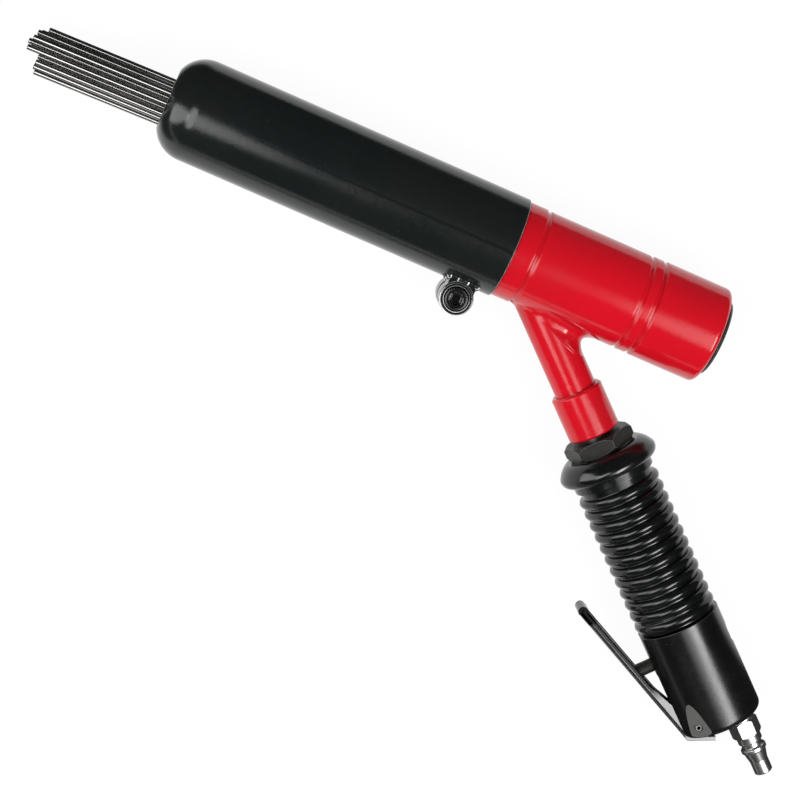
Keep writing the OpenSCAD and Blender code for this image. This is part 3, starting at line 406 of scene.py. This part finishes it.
finishes = {
    "black_paint": makeEnamel("blackEnamel", {
        "colour": (0.0056, 0.0082, 0.0078), "smearColour": (0.0078, 0.0092, 0.0088), "rough": (0.12, 0.18),
        "waveScale": 900.0, "gritScale": 2600.0, "gritShare": 0.35, "bump": 0.16, "bumpDepth": 0.0004,
        "patchScale": 16.0, "speckScale": 520.0, "speckShare": 0.02, "speckColour": (0.022, 0.025, 0.025),
        # pale edges of the black enamel: partly worn paint, partly a painted edge highlight
        "edge": 0.0005, "edgeColour": (0.5, 0.5, 0.49), "edgeShare": 0.03, "flatRough": 0.05,
    }),
    "red_paint": makeEnamel("redEnamel", {
        "colour": (0.50, 0.0038, 0.0118), "smearColour": (0.455, 0.0034, 0.0108), "rough": (0.11, 0.18),
        "waveScale": 700.0, "gritScale": 2200.0, "gritShare": 0.35, "bump": 0.14, "bumpDepth": 0.0004,
        "patchScale": 18.0, "speckScale": 480.0, "speckShare": 0.03, "speckColour": (0.50, 0.02, 0.03),
        "edge": 0.0009, "edgeColour": (0.46, 0.006, 0.014),
    }),
    "black_steel": makeEnamel("blackenedSteel", {
        "colour": (0.0085, 0.0081, 0.0068), "smearColour": (0.0165, 0.0155, 0.0132), "rough": (0.34, 0.46),
        "waveScale": 600.0, "gritScale": 2600.0, "gritShare": 0.5, "bump": 0.18, "bumpDepth": 0.0004,
        "patchScale": 60.0, "speckScale": 900.0, "speckShare": 0.12, "speckColour": (0.10, 0.095, 0.085),
        "edge": 0.0004, "edgeColour": (0.24, 0.23, 0.20), "shine": 0.2,
    }),
    "black_alloy": makeEnamel("satinBlackAlloy", {
        "colour": (0.0020, 0.0020, 0.0019), "smearColour": (0.0034, 0.0034, 0.0033), "rough": (0.22, 0.28),
        "waveScale": 1100.0, "gritScale": 3200.0, "gritShare": 0.6, "bump": 0.12, "bumpDepth": 0.0003,
        "patchScale": 30.0, "speckScale": 800.0, "speckShare": 0.05, "speckColour": (0.05, 0.05, 0.049),
        "edge": 0.0004, "edgeColour": (0.09, 0.09, 0.088), "milled": spotNormal,
        # lighter milled flat: bare metal and a painted reflection
        "milledBareAndSheen": (0.085, 0.085, 0.082),
    }),
    "grip_rubber": makeEnamel("gripRubber", {
        "colour": (0.0024, 0.0028, 0.0028), "smearColour": (0.0046, 0.0050, 0.0050), "rough": (0.13, 0.22),
        "waveScale": 800.0, "gritScale": 3000.0, "gritShare": 0.4, "bump": 0.10, "bumpDepth": 0.0003,
        "patchScale": 40.0, "speckScale": 800.0, "speckShare": 0.05, "speckColour": (0.03, 0.03, 0.03),
        "edge": 0.0003, "edgeColour": (0.012, 0.012, 0.012),
    }),
    "seal_rubber": makeEnamel("sealRubber", {
        "colour": (0.016, 0.016, 0.016), "smearColour": (0.03, 0.03, 0.03), "rough": (0.5, 0.65),
        "waveScale": 700.0, "gritScale": 3500.0, "gritShare": 0.6, "bump": 0.1, "bumpDepth": 0.0003,
        "patchScale": 60.0, "speckScale": 300.0, "speckShare": 0.03, "speckColour": (0.06, 0.06, 0.06),
        "edge": 0.0003, "edgeColour": (0.03, 0.03, 0.03),
    }),
    "needle_steel": makeMetal("drawnNeedleSteel", {
        "colour": (0.27, 0.267, 0.262), "stain": (0.40, 0.395, 0.385), "rough": (0.10, 0.18),
        "stretch": (18.0, 500.0, 500.0), "bump": 0.004,
    }),
    "spring_steel": makeMetal("oiledSpringSteel", {
        "colour": (0.16, 0.16, 0.165), "stain": (0.28, 0.27, 0.26), "rough": (0.3, 0.45),
        "stretch": (300.0, 300.0, 300.0), "bump": 0.1, "edge": 0.0004,
    }),
    "machined_steel": makeMetal("turnedSteel", {
        "colour": (0.10, 0.10, 0.102), "stain": (0.17, 0.167, 0.164), "rough": (0.20, 0.32),
        "stretch": (2500.0, 40.0, 40.0), "bump": 0.1, "edge": 0.0003,
    }),
    "bronze": makeMetal("turnedBronze", {
        "colour": (0.42, 0.26, 0.10), "stain": (0.52, 0.36, 0.16), "rough": (0.25, 0.4),
        "stretch": (2500.0, 40.0, 40.0), "bump": 0.1, "edge": 0.0003,
    }),
    "lever_plate": makeMetal("brightLeverPlate", {
        "colour": (0.30, 0.30, 0.305), "stain": (0.42, 0.42, 0.415), "rough": (0.17, 0.27),
        "stretch": (40.0, 900.0, 900.0), "turn": handleTurn, "bump": 0.012, "edge": 0.0004,
        "paintedDarkFaces": (0.03, 0.03, 0.03),  # painted dark reflection on the faces that face up and down
        # a paler painted reflection towards the ear, and a painted dark tip
        "ear": (0.20, 0.20, 0.198), "earFrom": leverPoints.max() - 0.042, "earSoft": 0.008,
        "tip": (0.009, 0.009, 0.009), "tipTo": leverPoints.min() + 0.011, "tipSoft": 0.002,
        "along": tuple(leverAlong),
    }),
    "plug_plate": makeMetal("brightPlugPlate", {
        "colour": (0.46, 0.46, 0.455), "stain": (0.58, 0.575, 0.56), "rough": (0.27, 0.34),
        "stretch": (1600.0, 40.0, 40.0), "turn": handleTurn, "bump": 0.004, "edge": 0.0005,
    }),
}
screwBlacking = makeEnamel("screwBlacking", {
    "colour": (0.0035, 0.0036, 0.0036), "smearColour": (0.0070, 0.0068, 0.0064), "rough": (0.07, 0.12),
    "waveScale": 700.0, "gritScale": 2600.0, "gritShare": 0.4, "bump": 0.10, "bumpDepth": 0.0003,
    "patchScale": 80.0, "speckScale": 900.0, "speckShare": 0.05, "speckColour": (0.05, 0.05, 0.05),
    # pale edges and knurl ticks of the screw: partly wear, partly painted highlights
    "edge": 0.0003, "edgeColour": (0.42, 0.42, 0.41), "edgeShare": 0.03,
})
# white paint for painted highlights: the glint rings on the lugs and the glints on the weld crests
paintedGlint = makeEnamel("paintedGlint", {
    "colour": (0.82, 0.82, 0.81), "smearColour": (0.55, 0.55, 0.54), "rough": (0.18, 0.32),
    "waveScale": 900.0, "gritScale": 2600.0, "gritShare": 0.4, "bump": 0.10, "bumpDepth": 0.0003,
    "patchScale": 260.0, "speckScale": 900.0, "speckShare": 0.12, "speckColour": (0.02, 0.02, 0.02),
    "edge": 0.0002, "edgeColour": (0.6, 0.6, 0.59),
})
weldPaint = makeEnamel("weldPaint", {
    "colour": (0.0040, 0.0050, 0.0048), "smearColour": (0.0070, 0.0080, 0.0076), "rough": (0.06, 0.10),
    "waveScale": 700.0, "gritScale": 2600.0, "gritShare": 0.35, "bump": 0.10, "bumpDepth": 0.0004,
    # its pale specks are painted glints
    "patchScale": 60.0, "speckScale": 900.0, "speckShare": 0.1, "speckColour": (0.2, 0.2, 0.2),
    "edge": 0.0002, "edgeColour": (0.4, 0.4, 0.39),
})
for part in frame["record"]["subparts"]:
    mesh = nodes[part["node"]].data
    mesh.materials.clear()
    mesh.materials.append(finishes[part["material_slot"]])


# a mesh from a grid of points, closed round either way, its seams and poles welded and its faces outwards
def gridPiece(name, points, closeRows, closeColumns, body, slot):
    rows, columns = points.shape[:2]
    r = np.arange(rows if closeRows else rows - 1)[:, None]
    c = np.arange(columns if closeColumns else columns - 1)[None, :]
    r2, c2 = (r + 1) % rows, (c + 1) % columns
    corners = [r * columns + c, r2 * columns + c, r2 * columns + c2, r * columns + c2]
    faces = np.stack(corners, -1).reshape(-1, 4)
    mesh = bpy.data.meshes.new(name)
    mesh.from_pydata(points.reshape(-1, 3).tolist(), [], faces.tolist())
    shape = bmesh.new()
    shape.from_mesh(mesh)
    bmesh.ops.remove_doubles(shape, verts=shape.verts, dist=1e-7)
    bmesh.ops.recalc_face_normals(shape, faces=shape.faces)
    shape.to_mesh(mesh)
    shape.free()
    mesh.polygons.foreach_set("use_smooth", np.ones(len(mesh.polygons), dtype=bool))
    mesh.materials.append(finishes[slot])
    obj = bpy.data.objects.new(name, mesh)
    scene.collection.objects.link(obj)
    if body:  # a piece that blends rides on no single body
        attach(obj, body)
    return obj


# points of a node along a direction, as lengths from a place
def spanAlong(node, place, axis):
    obj = nodes[node]
    flat = np.empty(len(obj.data.vertices) * 3)
    obj.data.vertices.foreach_get("co", flat)
    turn = np.array(obj.matrix_world)
    along = (flat.reshape(-1, 3) @ turn[:3, :3].T + turn[:3, 3] - place) @ axis
    return along.min(), along.max()


def evenSteps(path, count):  # the same line cut into equal steps
    length = np.concatenate([[0], np.cumsum(np.linalg.norm(np.diff(path, axis=0), axis=1))])
    at = np.linspace(0, length[-1], count)
    return np.stack([np.interp(at, length, path[:, i]) for i in range(path.shape[1])], -1)


# ribbed sleeve: one outline of flange, collar, ribs and tail, the outermost of them at each height,
# turned about the handle
sleeve = {
    "core": 0.0205, "bore": 0.01055, "lip": 0.0039, "lipAt": (0.0241, 0.0083),
    "crownFrom": 0.0207, "crown": 1.5,  # the flange's rise from its end to its lip
    "collar": 0.0228, "collarFrom": 0.006, "collarEnd": 0.0170, "collarSlope": 40,
    "ribFrom": 0.0239, "ribPitch": 0.007, "ribs": 12, "ribR": 0.0029,
    "tail": 0.0216, "tailLen": 0.0086, "tailEdge": 0.0012,
    "ease": 0.00012, "seam": 0.00010, "seamWide": 0.02,
    "samples": 6000, "around": 168, "steps": 430,
}


def ribbedSleeve(s):
    low, high = spanAlong("grip", pipeMiddle, alongHandle)
    length = high - low
    z = np.linspace(0, length, s["samples"])
    outline = [np.full_like(z, s["core"])]
    before = np.clip(s["collarFrom"] - z, 0, 1)
    outline.append(np.where(z < s["collarEnd"], s["collar"] - s["collarSlope"] * before, 0))
    lipR, lipZ = s["lipAt"]
    rise = 1 - np.clip(1 - z / lipZ, 0, 1) ** s["crown"]
    crown = s["crownFrom"] + (lipR + s["lip"] - s["crownFrom"]) * rise ** (1 / s["crown"])
    outline.append(np.where(z < lipZ, crown, 0))
    half = np.sqrt(np.clip(s["lip"] ** 2 - (z - lipZ) ** 2, 0, None))
    outline.append(np.where(half > 0, lipR + half, 0))
    for k in range(s["ribs"]):
        half = np.sqrt(np.clip(s["ribR"] ** 2 - (z - s["ribFrom"] - k * s["ribPitch"]) ** 2, 0, None))
        outline.append(np.where(half > 0, s["core"] + half, 0))
    edge = s["tailEdge"]
    past = np.clip(z - length + edge, 0, 1)
    tail = s["tail"] - edge + np.sqrt(np.clip(edge ** 2 - past ** 2, 0, None))
    outline.append(np.where(z > length - s["tailLen"], tail, 0))
    weight = np.exp(np.array(outline) / s["ease"] - s["core"] / s["ease"])  # eases one form into the next
    radius = s["ease"] * np.log(np.sum(weight, 0)) + s["core"]
    radius = np.minimum(radius, np.max(outline, 0) + s["ease"])
    outer = evenSteps(np.stack([z, radius], -1), s["steps"])
    inner = np.array([[length, s["bore"]], [0, s["bore"]]])
    profile = np.concatenate([outer, inner])
    turn = np.linspace(0, 2 * np.pi, s["around"], endpoint=False)
    seam = s["seam"] * np.exp(-(np.sin(turn) / s["seamWide"]) ** 2)  # two parting lines of the mould
    r = profile[:, None, 1] + seam * (profile[:, None, 1] > s["bore"])
    points = (pipeMiddle + (low + profile[:, None, 0, None]) * alongHandle
              + r[..., None] * (np.cos(turn)[:, None] * acrossHandle + np.sin(turn)[:, None] * upward))
    piece = gridPiece("ribbedSleeve", points, True, True, "tool_body", "grip_rubber")
    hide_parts("grip")


ribbedSleeve(sleeve)
print("sleeve made")

# branch root: a bent strip from the branch to the body, round the whole branch, a touch proud of the solid
root = {
    "body": 0.0268, "branch": 0.0117, "fillet": 0.0064, "sink": 14, "proud": 0.00016, "swell": 0.00022,
    "waves": ((5, 9, 0), (11, -6, 1), (17, 0, 2)),  # number round, radians along and start of each
    "waveLift": 1.5, "around": 240, "steps": 36,
}


def branchRoot(s):
    slope = math.atan2(-alongHandle[1], alongHandle[0])
    meet = pipeMiddle + alongHandle * (barrelMiddle[1] - pipeMiddle[1]) / alongHandle[1]
    a = np.linspace(0, 2 * np.pi, s["around"], endpoint=False)
    y, z = s["branch"] * np.cos(a), s["branch"] * np.sin(a)
    h = (y * math.cos(slope) + np.sqrt(s["body"] ** 2 - z ** 2)) / math.sin(slope)
    corner = np.stack([h, y, z], -1)
    outBranch = np.stack([0 * a, np.cos(a), np.sin(a)], -1)
    side = -h * math.sin(slope) + y * math.cos(slope)
    outBody = np.stack([-side * math.sin(slope), side * math.cos(slope), z], -1) / s["body"]
    opening = np.pi - np.arccos(np.sum(outBranch * outBody, -1))
    run = (s["fillet"] / np.tan(opening / 2))[:, None]
    edge = np.cross(outBranch, outBody)
    edge /= np.linalg.norm(edge, axis=-1, keepdims=True)
    alongBranch = np.cross(edge, outBranch)
    alongBranch *= np.sign(alongBranch[:, :1])
    alongBody = np.cross(outBody, edge)
    alongBody *= np.sign(np.sum(alongBody * outBranch, -1, keepdims=True))
    sink = s["fillet"] / s["sink"]
    start = corner + run * alongBranch - sink * outBranch
    end = corner + run * alongBody - sink * outBody
    t = np.linspace(0, 1, s["steps"])[None, :, None]
    bend = (1 - t) ** 2 * start[:, None] + 2 * t * (1 - t) * corner[:, None] + t ** 2 * end[:, None]
    out = (1 - t) * outBranch[:, None] + t * outBody[:, None]
    out /= np.linalg.norm(out, axis=-1, keepdims=True)
    turn = a[:, None]
    wave = sum(np.sin(m * turn + n * t[..., 0] + start) for m, n, start in s["waves"])
    lift = s["proud"] + s["swell"] / len(s["waves"]) * (wave + s["waveLift"]) * np.sin(np.pi * t[..., 0])
    bend = bend + np.clip(lift, s["proud"] / 2, None)[..., None] * out
    points = meet + bend[..., :1] * alongHandle + bend[..., 1:2] * acrossHandle + bend[..., 2:] * upward
    gridPiece("branchRoot", points, True, False, "tool_body", "red_paint")


branchRoot(root)
print("branch root made")

# weld beads of the clamp lugs: a rippled round bar along the line where each lug meets the tube
weld = {
    "tube": 0.0282, "slit": 0.0019, "top": 0.0131, "neck": 0.0079, "bead": 0.00115, "ripple": 0.36,
    "pitch": 0.0019, "lump": 0.8, "lumps": 7.3, "taper": 30, "glintWave": 1.15, "outward": 0.1,
    "side": 60, "blur": 25, "steps": 260, "around": 20,
}


def weldBead(name, w, side):
    low, high = math.asin(w["slit"] / w["tube"]), math.asin(w["top"] / w["tube"])
    rise = np.linspace(low, high, w["side"])
    over = np.linspace(-1, 1, w["side"])[1:-1]
    neck = np.full(w["side"], w["neck"])
    turn = np.concatenate([rise, np.full(len(over), high), rise[::-1]])
    along = np.concatenate([-neck, w["neck"] * over, neck])
    path = np.stack([along, -w["tube"] * np.cos(turn), side * w["tube"] * np.sin(turn)], -1)
    path = evenSteps(path, w["steps"])
    blur = np.hanning(w["blur"]) / np.hanning(w["blur"]).sum()  # rounds the path's corners
    padded = np.pad(path, ((w["blur"] // 2, w["blur"] // 2), (0, 0)), mode="edge")
    path = np.stack([np.convolve(padded[:, i], blur, mode="valid") for i in range(3)], -1)
    path += np.array([clampMiddle[0], barrelMiddle[1], barrelMiddle[2]])
    ahead = np.gradient(path, axis=0)
    ahead /= np.linalg.norm(ahead, axis=1, keepdims=True)
    out = path - np.array([0, barrelMiddle[1], barrelMiddle[2]])
    out[:, 0] = 0
    out /= np.linalg.norm(out, axis=1, keepdims=True)
    aside = np.cross(ahead, out)
    s = np.linspace(0, 1, w["steps"])
    length = np.linalg.norm(np.diff(path, axis=0), axis=1).sum()
    wave = np.sin(2 * np.pi * s * length / w["pitch"]) + w["lump"] * np.sin(2 * np.pi * s * w["lumps"] + side)
    taper = np.sqrt(np.clip(np.minimum(s, 1 - s) * w["taper"], 0, 1))
    radius = w["bead"] * (1 + w["ripple"] * wave) * taper
    a = np.linspace(0, 2 * np.pi, w["around"], endpoint=False)
    points = path[:, None] + radius[:, None, None] * (
        np.cos(a)[None, :, None] * out[:, None] + np.sin(a)[None, :, None] * aside[:, None])
    piece = gridPiece(name, points, False, True, "front_tube", "black_paint")
    piece.data.materials[0] = weldPaint
    piece.data.materials.append(paintedGlint)
    # painted glints on the outer crests
    crest = (wave[:-1, None] > w["glintWave"]) & (np.cos(a)[None, :] > w["outward"])
    piece.data.polygons.foreach_set("material_index", crest.ravel().astype(np.int32))


weldBead("nearWeld", weld, 1)
weldBead("farWeld", weld, -1)
print("welds made")

# painted highlights on the rims of the lugs: a thin white bar bent round the screw, thickest half way and drawn
# out to nothing at its ends
rims = {
    "face": 0.0144, "edge": (0.00897, 0.00043), "bore": (0.00705, 0.00012),  # radius and depth of two rims
    "from": 152.0, "to": 388.0, "wide": 0.00046, "thin": 0.00012, "boreWide": 0.00016,
    "steps": 150, "around": 14,
}


def paintedLugGlint(name, r, side, place, wide, thin):
    s = np.linspace(0, 1, r["steps"])
    turn = np.radians(r["from"] + (r["to"] - r["from"]) * s)
    taper = np.sqrt(np.sin(np.pi * s))[:, None]
    a = np.linspace(0, 2 * np.pi, r["around"], endpoint=False)[None, :]
    out = place[0] + taper * (wide * np.cos(a) + thin * np.sin(a)) / math.sqrt(2)
    drop = place[1] + taper * (wide * np.cos(a) - thin * np.sin(a)) / math.sqrt(2)
    points = np.stack([clampMiddle[0] + out * np.cos(turn)[:, None],
                       clampMiddle[1] + out * np.sin(turn)[:, None],
                       barrelMiddle[2] + side * (r["face"] - drop)], -1)
    piece = gridPiece(name, points, False, True, "front_tube", "black_paint")
    piece.data.materials[0] = paintedGlint


for name, side in (("near", 1), ("far", -1)):
    paintedLugGlint(name + "LugGlint", rims, side, rims["edge"], rims["wide"], rims["thin"])
paintedLugGlint("nearBoreGlint", rims, 1, rims["bore"], rims["boreWide"], rims["boreWide"])
print("lug rims made")

# clamp screw: one turned outline from the key's floor over the knurled head to the end of the shank,
# the key six sided and the head's side notched
screw = {
    "head": 0.0065, "headLen": 0.008, "key": 0.003, "keyDepth": 0.004, "shank": 0.004, "edge": 0.0005,
    "step": 0.0001, "soft": 0.00008, "knurls": 40, "knurlDeep": 0.00022, "around": 480,
}


def knurledScrew(k):
    low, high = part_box("clamp_screw")
    top, bottom = high[2], low[2]
    turn = np.linspace(0, 2 * np.pi, k["around"], endpoint=False)
    hexagon = k["key"] / np.cos((turn + np.pi / 6) % (np.pi / 3) - np.pi / 6)
    notch = k["head"] - k["knurlDeep"] * (0.5 + 0.5 * np.cos(k["knurls"] * turn))
    ring = np.ones_like(turn)
    floor, seat = top - k["keyDepth"], top - k["headLen"]
    rows = [
        (0 * ring, floor), (0.6 * hexagon, floor), (0.97 * hexagon, floor), (hexagon, floor + k["step"]),
        (hexagon, top - k["edge"]), (hexagon + 0.3 * k["edge"], top - 0.4 * k["edge"]),
        (hexagon + k["edge"], top), (0.5 * (hexagon + notch), top), (notch - k["edge"], top),
        (notch - 0.3 * k["edge"], top - 0.3 * k["edge"]), (notch, top - k["edge"]), (notch, seat + k["edge"]),
        (k["head"] * 0.97 * ring, seat + k["step"]), (k["shank"] * 1.05 * ring, seat + k["step"]),
        (k["shank"] * ring, seat), (k["shank"] * ring, bottom + k["edge"]),
        ((k["shank"] - k["edge"]) * ring, bottom), (0 * ring, bottom),
    ]
    points = np.stack([np.stack([clampMiddle[0] + r * np.cos(turn), clampMiddle[1] + r * np.sin(turn),
                                 z * ring], -1) for r, z in rows])
    piece = gridPiece("knurledScrew", points, False, True, "front_tube", "black_steel")
    piece.data.materials[0] = screwBlacking
    piece.modifiers.new("soft", "BEVEL").limit_method = "ANGLE"
    piece.modifiers["soft"].width = k["soft"]
    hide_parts("clamp_screw")


knurledScrew(screw)
print("clamp screw made")

# springs: a round wire wound round a line, its end turns closed up, its ends ground flat
coils = {
    "needle": {"wire": 0.0030, "turns": 9, "press": 0.008},
    "throttle": {"wire": 0.0011, "turns": 4, "press": 0.0061},
    "closed": 0.75, "lay": 1.04, "start": 0.3, "perTurn": 48, "around": 14,
}


# rings of wire from share to share of the winding, and a point at each end
def coilPoints(name, kind, axis, first, last):
    c = coils[kind]
    middle = boxMiddle(name)
    low, high = spanAlong(name, middle, axis)
    radius = (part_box(name)[1][2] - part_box(name)[0][2] - c["wire"]) / 2
    count = c["turns"] * coils["perTurn"] + 1
    turns = np.linspace(0, c["turns"], count)
    start = coils["start"] * c["wire"]
    ends = coils["closed"]
    shut = ends * coils["lay"] * c["wire"]  # length of the closed turns at one end
    rise = np.interp(turns, [0, ends, c["turns"] - ends, c["turns"]],
                     np.cumsum([start, shut, high - low - 2 * start - 2 * shut, shut]))
    aside = np.cross(upward, axis)
    keep = slice(round(first * (count - 1)), round(last * (count - 1)) + 1)
    angle, rise = 2 * np.pi * turns[keep, None], rise[keep, None]
    a = np.linspace(0, 2 * np.pi, coils["around"], endpoint=False)[None, :]
    size = np.concatenate([[0], np.full(len(rise), c["wire"] / 2), [0]])[:, None]
    angle, rise = np.pad(angle, ((1, 1), (0, 0)), mode="edge"), np.pad(rise, ((1, 1), (0, 0)), mode="edge")
    out = radius + size * np.cos(a)
    along = np.clip(rise + size * np.sin(a), 0, high - low) + low
    return middle + (along[..., None] * axis + (out * np.cos(angle))[..., None] * aside
                     + (out * np.sin(angle))[..., None] * upward)


def makeSprings():
    barrel = np.array([1.0, 0.0, 0.0])
    front = gridPiece("needleSpringFront", coilPoints("needle_spring", "needle", barrel, 0, 0.5), False, True,
                      None, "spring_steel")
    rear = gridPiece("needleSpringRear", coilPoints("needle_spring", "needle", barrel, 0.5, 1), False, True,
                     "tool_body", "spring_steel")
    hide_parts("needle_spring")
    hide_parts("needle_spring")
    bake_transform(front)  # drawn out by the tube
    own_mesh(rear)
    joints = frame["record"]["behaviour"]["joints"]
    slide = np.array([j["axis"] for j in joints if j["name"] == "plunger_slide"][0])
    slide = slide / np.linalg.norm(slide)
    place = boxMiddle("throttle_spring")
    start, end = spanAlong("throttle_spring", place, slide)
    small = gridPiece("throttleSpring", coilPoints("throttle_spring", "throttle", slide, 0, 1), False, True,
                      "tool_body", "spring_steel")
    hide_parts("throttle_spring")
    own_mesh(small)


makeSprings()
print("springs made")

# floor and light
stage = {
    "floorSize": 6.0, "floorGlow": 0.95, "paper": (0.9, 0.9, 0.9, 1),
    "dome": (0.27, 0.275, 0.28), "dark": (0.04, 0.041, 0.042),
    # the white sheet in reflections: two straight sides, a slanted one, and how far down the handle it goes
    "whiteTo": (0.275, 0.19), "whiteFrom": -0.235, "slant": -0.35, "whiteDown": 0.205, "soft": 0.025,
    # the low white wall beyond the sheet, in reflections
    "wall": 0.10, "wallSoft": 0.6, "wallFrom": -0.2,
}


def buildFloor(s):
    half = s["floorSize"] / 2
    mesh = bpy.data.meshes.new("paleFloor")
    corners = [(-half, -half, 0), (half, -half, 0), (half, half, 0), (-half, half, 0)]
    mesh.from_pydata(corners, [], [(0, 1, 2, 3)])
    floor = bpy.data.objects.new("paleFloor", mesh)
    scene.collection.objects.link(floor)
    mat = bpy.data.materials.new("paleFloor")
    tree = emptyTree(mat)
    out = tree.nodes.new("ShaderNodeOutputMaterial")
    plain = addNode(tree, "ShaderNodeBsdfDiffuse", Color=s["paper"])
    glow = addNode(tree, "ShaderNodeEmission", Color=(1, 1, 1, 1))
    path = tree.nodes.new("ShaderNodeLightPath")
    where = tree.nodes.new("ShaderNodeTexCoord")
    split = tree.nodes.new("ShaderNodeSeparateXYZ")
    tree.links.new(where.outputs["Object"], split.inputs[0])
    skew = addNode(tree, "ShaderNodeMath", operation="MULTIPLY_ADD")
    skew.inputs[1].default_value = s["slant"]
    tree.links.new(split.outputs["Y"], skew.inputs[0])
    tree.links.new(split.outputs["X"], skew.inputs[2])
    down = addNode(tree, "ShaderNodeVectorMath", operation="DOT_PRODUCT")
    down.inputs[1].default_value = tuple(alongHandle)
    tree.links.new(where.outputs["Object"], down.inputs[0])
    sheet = []
    for along, edge, way in ((split.outputs["X"], s["whiteTo"][0], 1), (split.outputs["Y"], s["whiteTo"][1], 1),
                             (skew.outputs[0], s["whiteFrom"], -1), (down.outputs["Value"], s["whiteDown"], 1)):
        side = addNode(tree, "ShaderNodeMapRange", From_Min=edge + way * s["soft"], From_Max=edge)
        tree.links.new(along, side.inputs["Value"])
        sheet.append(side.outputs["Result"])
    for edge in sheet[1:]:
        least = addNode(tree, "ShaderNodeMath", operation="MINIMUM")
        tree.links.new(sheet[0], least.inputs[0])
        tree.links.new(edge, least.inputs[1])
        sheet[0] = least.outputs[0]
    white = addNode(tree, "ShaderNodeMath", operation="MAXIMUM")
    tree.links.new(sheet[0], white.inputs[0])
    tree.links.new(path.outputs["Is Camera Ray"], white.inputs[1])
    level = addNode(tree, "ShaderNodeMath", operation="MAXIMUM")
    level.inputs[1].default_value = s["dark"][0]
    tree.links.new(white.outputs[0], level.inputs[0])
    tree.links.new(level.outputs[0], glow.inputs["Strength"])
    share = addNode(tree, "ShaderNodeMath", operation="MULTIPLY_ADD")
    share.inputs[1].default_value = s["floorGlow"]
    both = addNode(tree, "ShaderNodeMath", operation="MAXIMUM")
    tree.links.new(path.outputs["Is Glossy Ray"], both.inputs[0])
    tree.links.new(path.outputs["Is Transmission Ray"], both.inputs[1])
    tree.links.new(path.outputs["Is Camera Ray"], share.inputs[0])
    tree.links.new(both.outputs[0], share.inputs[2])
    mix = tree.nodes.new("ShaderNodeMixShader")
    tree.links.new(share.outputs[0], mix.inputs[0])
    tree.links.new(plain.outputs[0], mix.inputs[1])
    tree.links.new(glow.outputs[0], mix.inputs[2])
    tree.links.new(mix.outputs[0], out.inputs[0])
    mesh.materials.append(mat)


def buildWorld(s):
    world = bpy.data.worlds.new("studio")
    scene.world = world
    tree = emptyTree(world)
    out = tree.nodes.new("ShaderNodeOutputWorld")
    back = tree.nodes.new("ShaderNodeBackground")
    path = tree.nodes.new("ShaderNodeLightPath")
    where = tree.nodes.new("ShaderNodeTexCoord")
    split = tree.nodes.new("ShaderNodeSeparateXYZ")
    tree.links.new(where.outputs["Generated"], split.inputs[0])
    low = addNode(tree, "ShaderNodeMapRange", From_Min=s["wall"], From_Max=s["wallSoft"] * s["wall"])
    near = addNode(tree, "ShaderNodeMapRange", From_Min=s["wallFrom"], From_Max=2 * s["wallFrom"])
    both = addNode(tree, "ShaderNodeMath", operation="MULTIPLY")
    tree.links.new(split.outputs["Z"], low.inputs["Value"])
    tree.links.new(split.outputs["Y"], near.inputs["Value"])
    tree.links.new(low.outputs["Result"], both.inputs[0])
    tree.links.new(near.outputs["Result"], both.inputs[1])
    seen = mixColours(tree, both.outputs[0], s["dark"], (1.0, 1.0, 1.0))
    tree.links.new(mixColours(tree, path.outputs["Is Glossy Ray"], s["dome"], seen), back.inputs["Color"])
    tree.links.new(back.outputs[0], out.inputs[0])


def addLamp(name, place, aim, size, radiance):
    lamp = bpy.data.lights.new(name, "AREA")
    lamp.shape = "ELLIPSE"
    lamp.size, lamp.size_y = size
    lamp.energy = radiance * math.pi ** 2 / 4 * size[0] * size[1]  # over the ellipse
    obj = bpy.data.objects.new(name, lamp)
    z = np.array(place) - np.array(aim)
    z /= np.linalg.norm(z)
    x = np.cross((0.0, 1.0, 0.0), z)
    x /= np.linalg.norm(x)
    y = np.cross(z, x)
    obj.matrix_world = standing(x, y, z, place)
    scene.collection.objects.link(obj)


lamps = {
    "keyBox": {"place": (-0.45, -0.30, 1.3), "aim": (-0.18, 0, 0.03), "size": (0.72, 1.15), "radiance": 4.3},
    "noseBox": {"place": (-1.28, -0.30, 0.58), "aim": (-0.19, 0.05, 0.04), "size": (2.2, 0.74),
                "radiance": 3.7},
    "rearBox": {"place": (1.0, -0.10, 1.3), "aim": (0.1, 0, 0.03), "size": (0.45, 1.0), "radiance": 15.0},
    "bodyBox": {"place": (0.54, -0.10, 1.3), "aim": (0.12, 0, 0.03), "size": (0.4, 1.0), "radiance": 2.8},
}
buildFloor(stage)
buildWorld(stage)
for name, values in lamps.items():
    addLamp(name, **values)
print("floor and light set")

scene.view_settings.view_transform = "Standard"
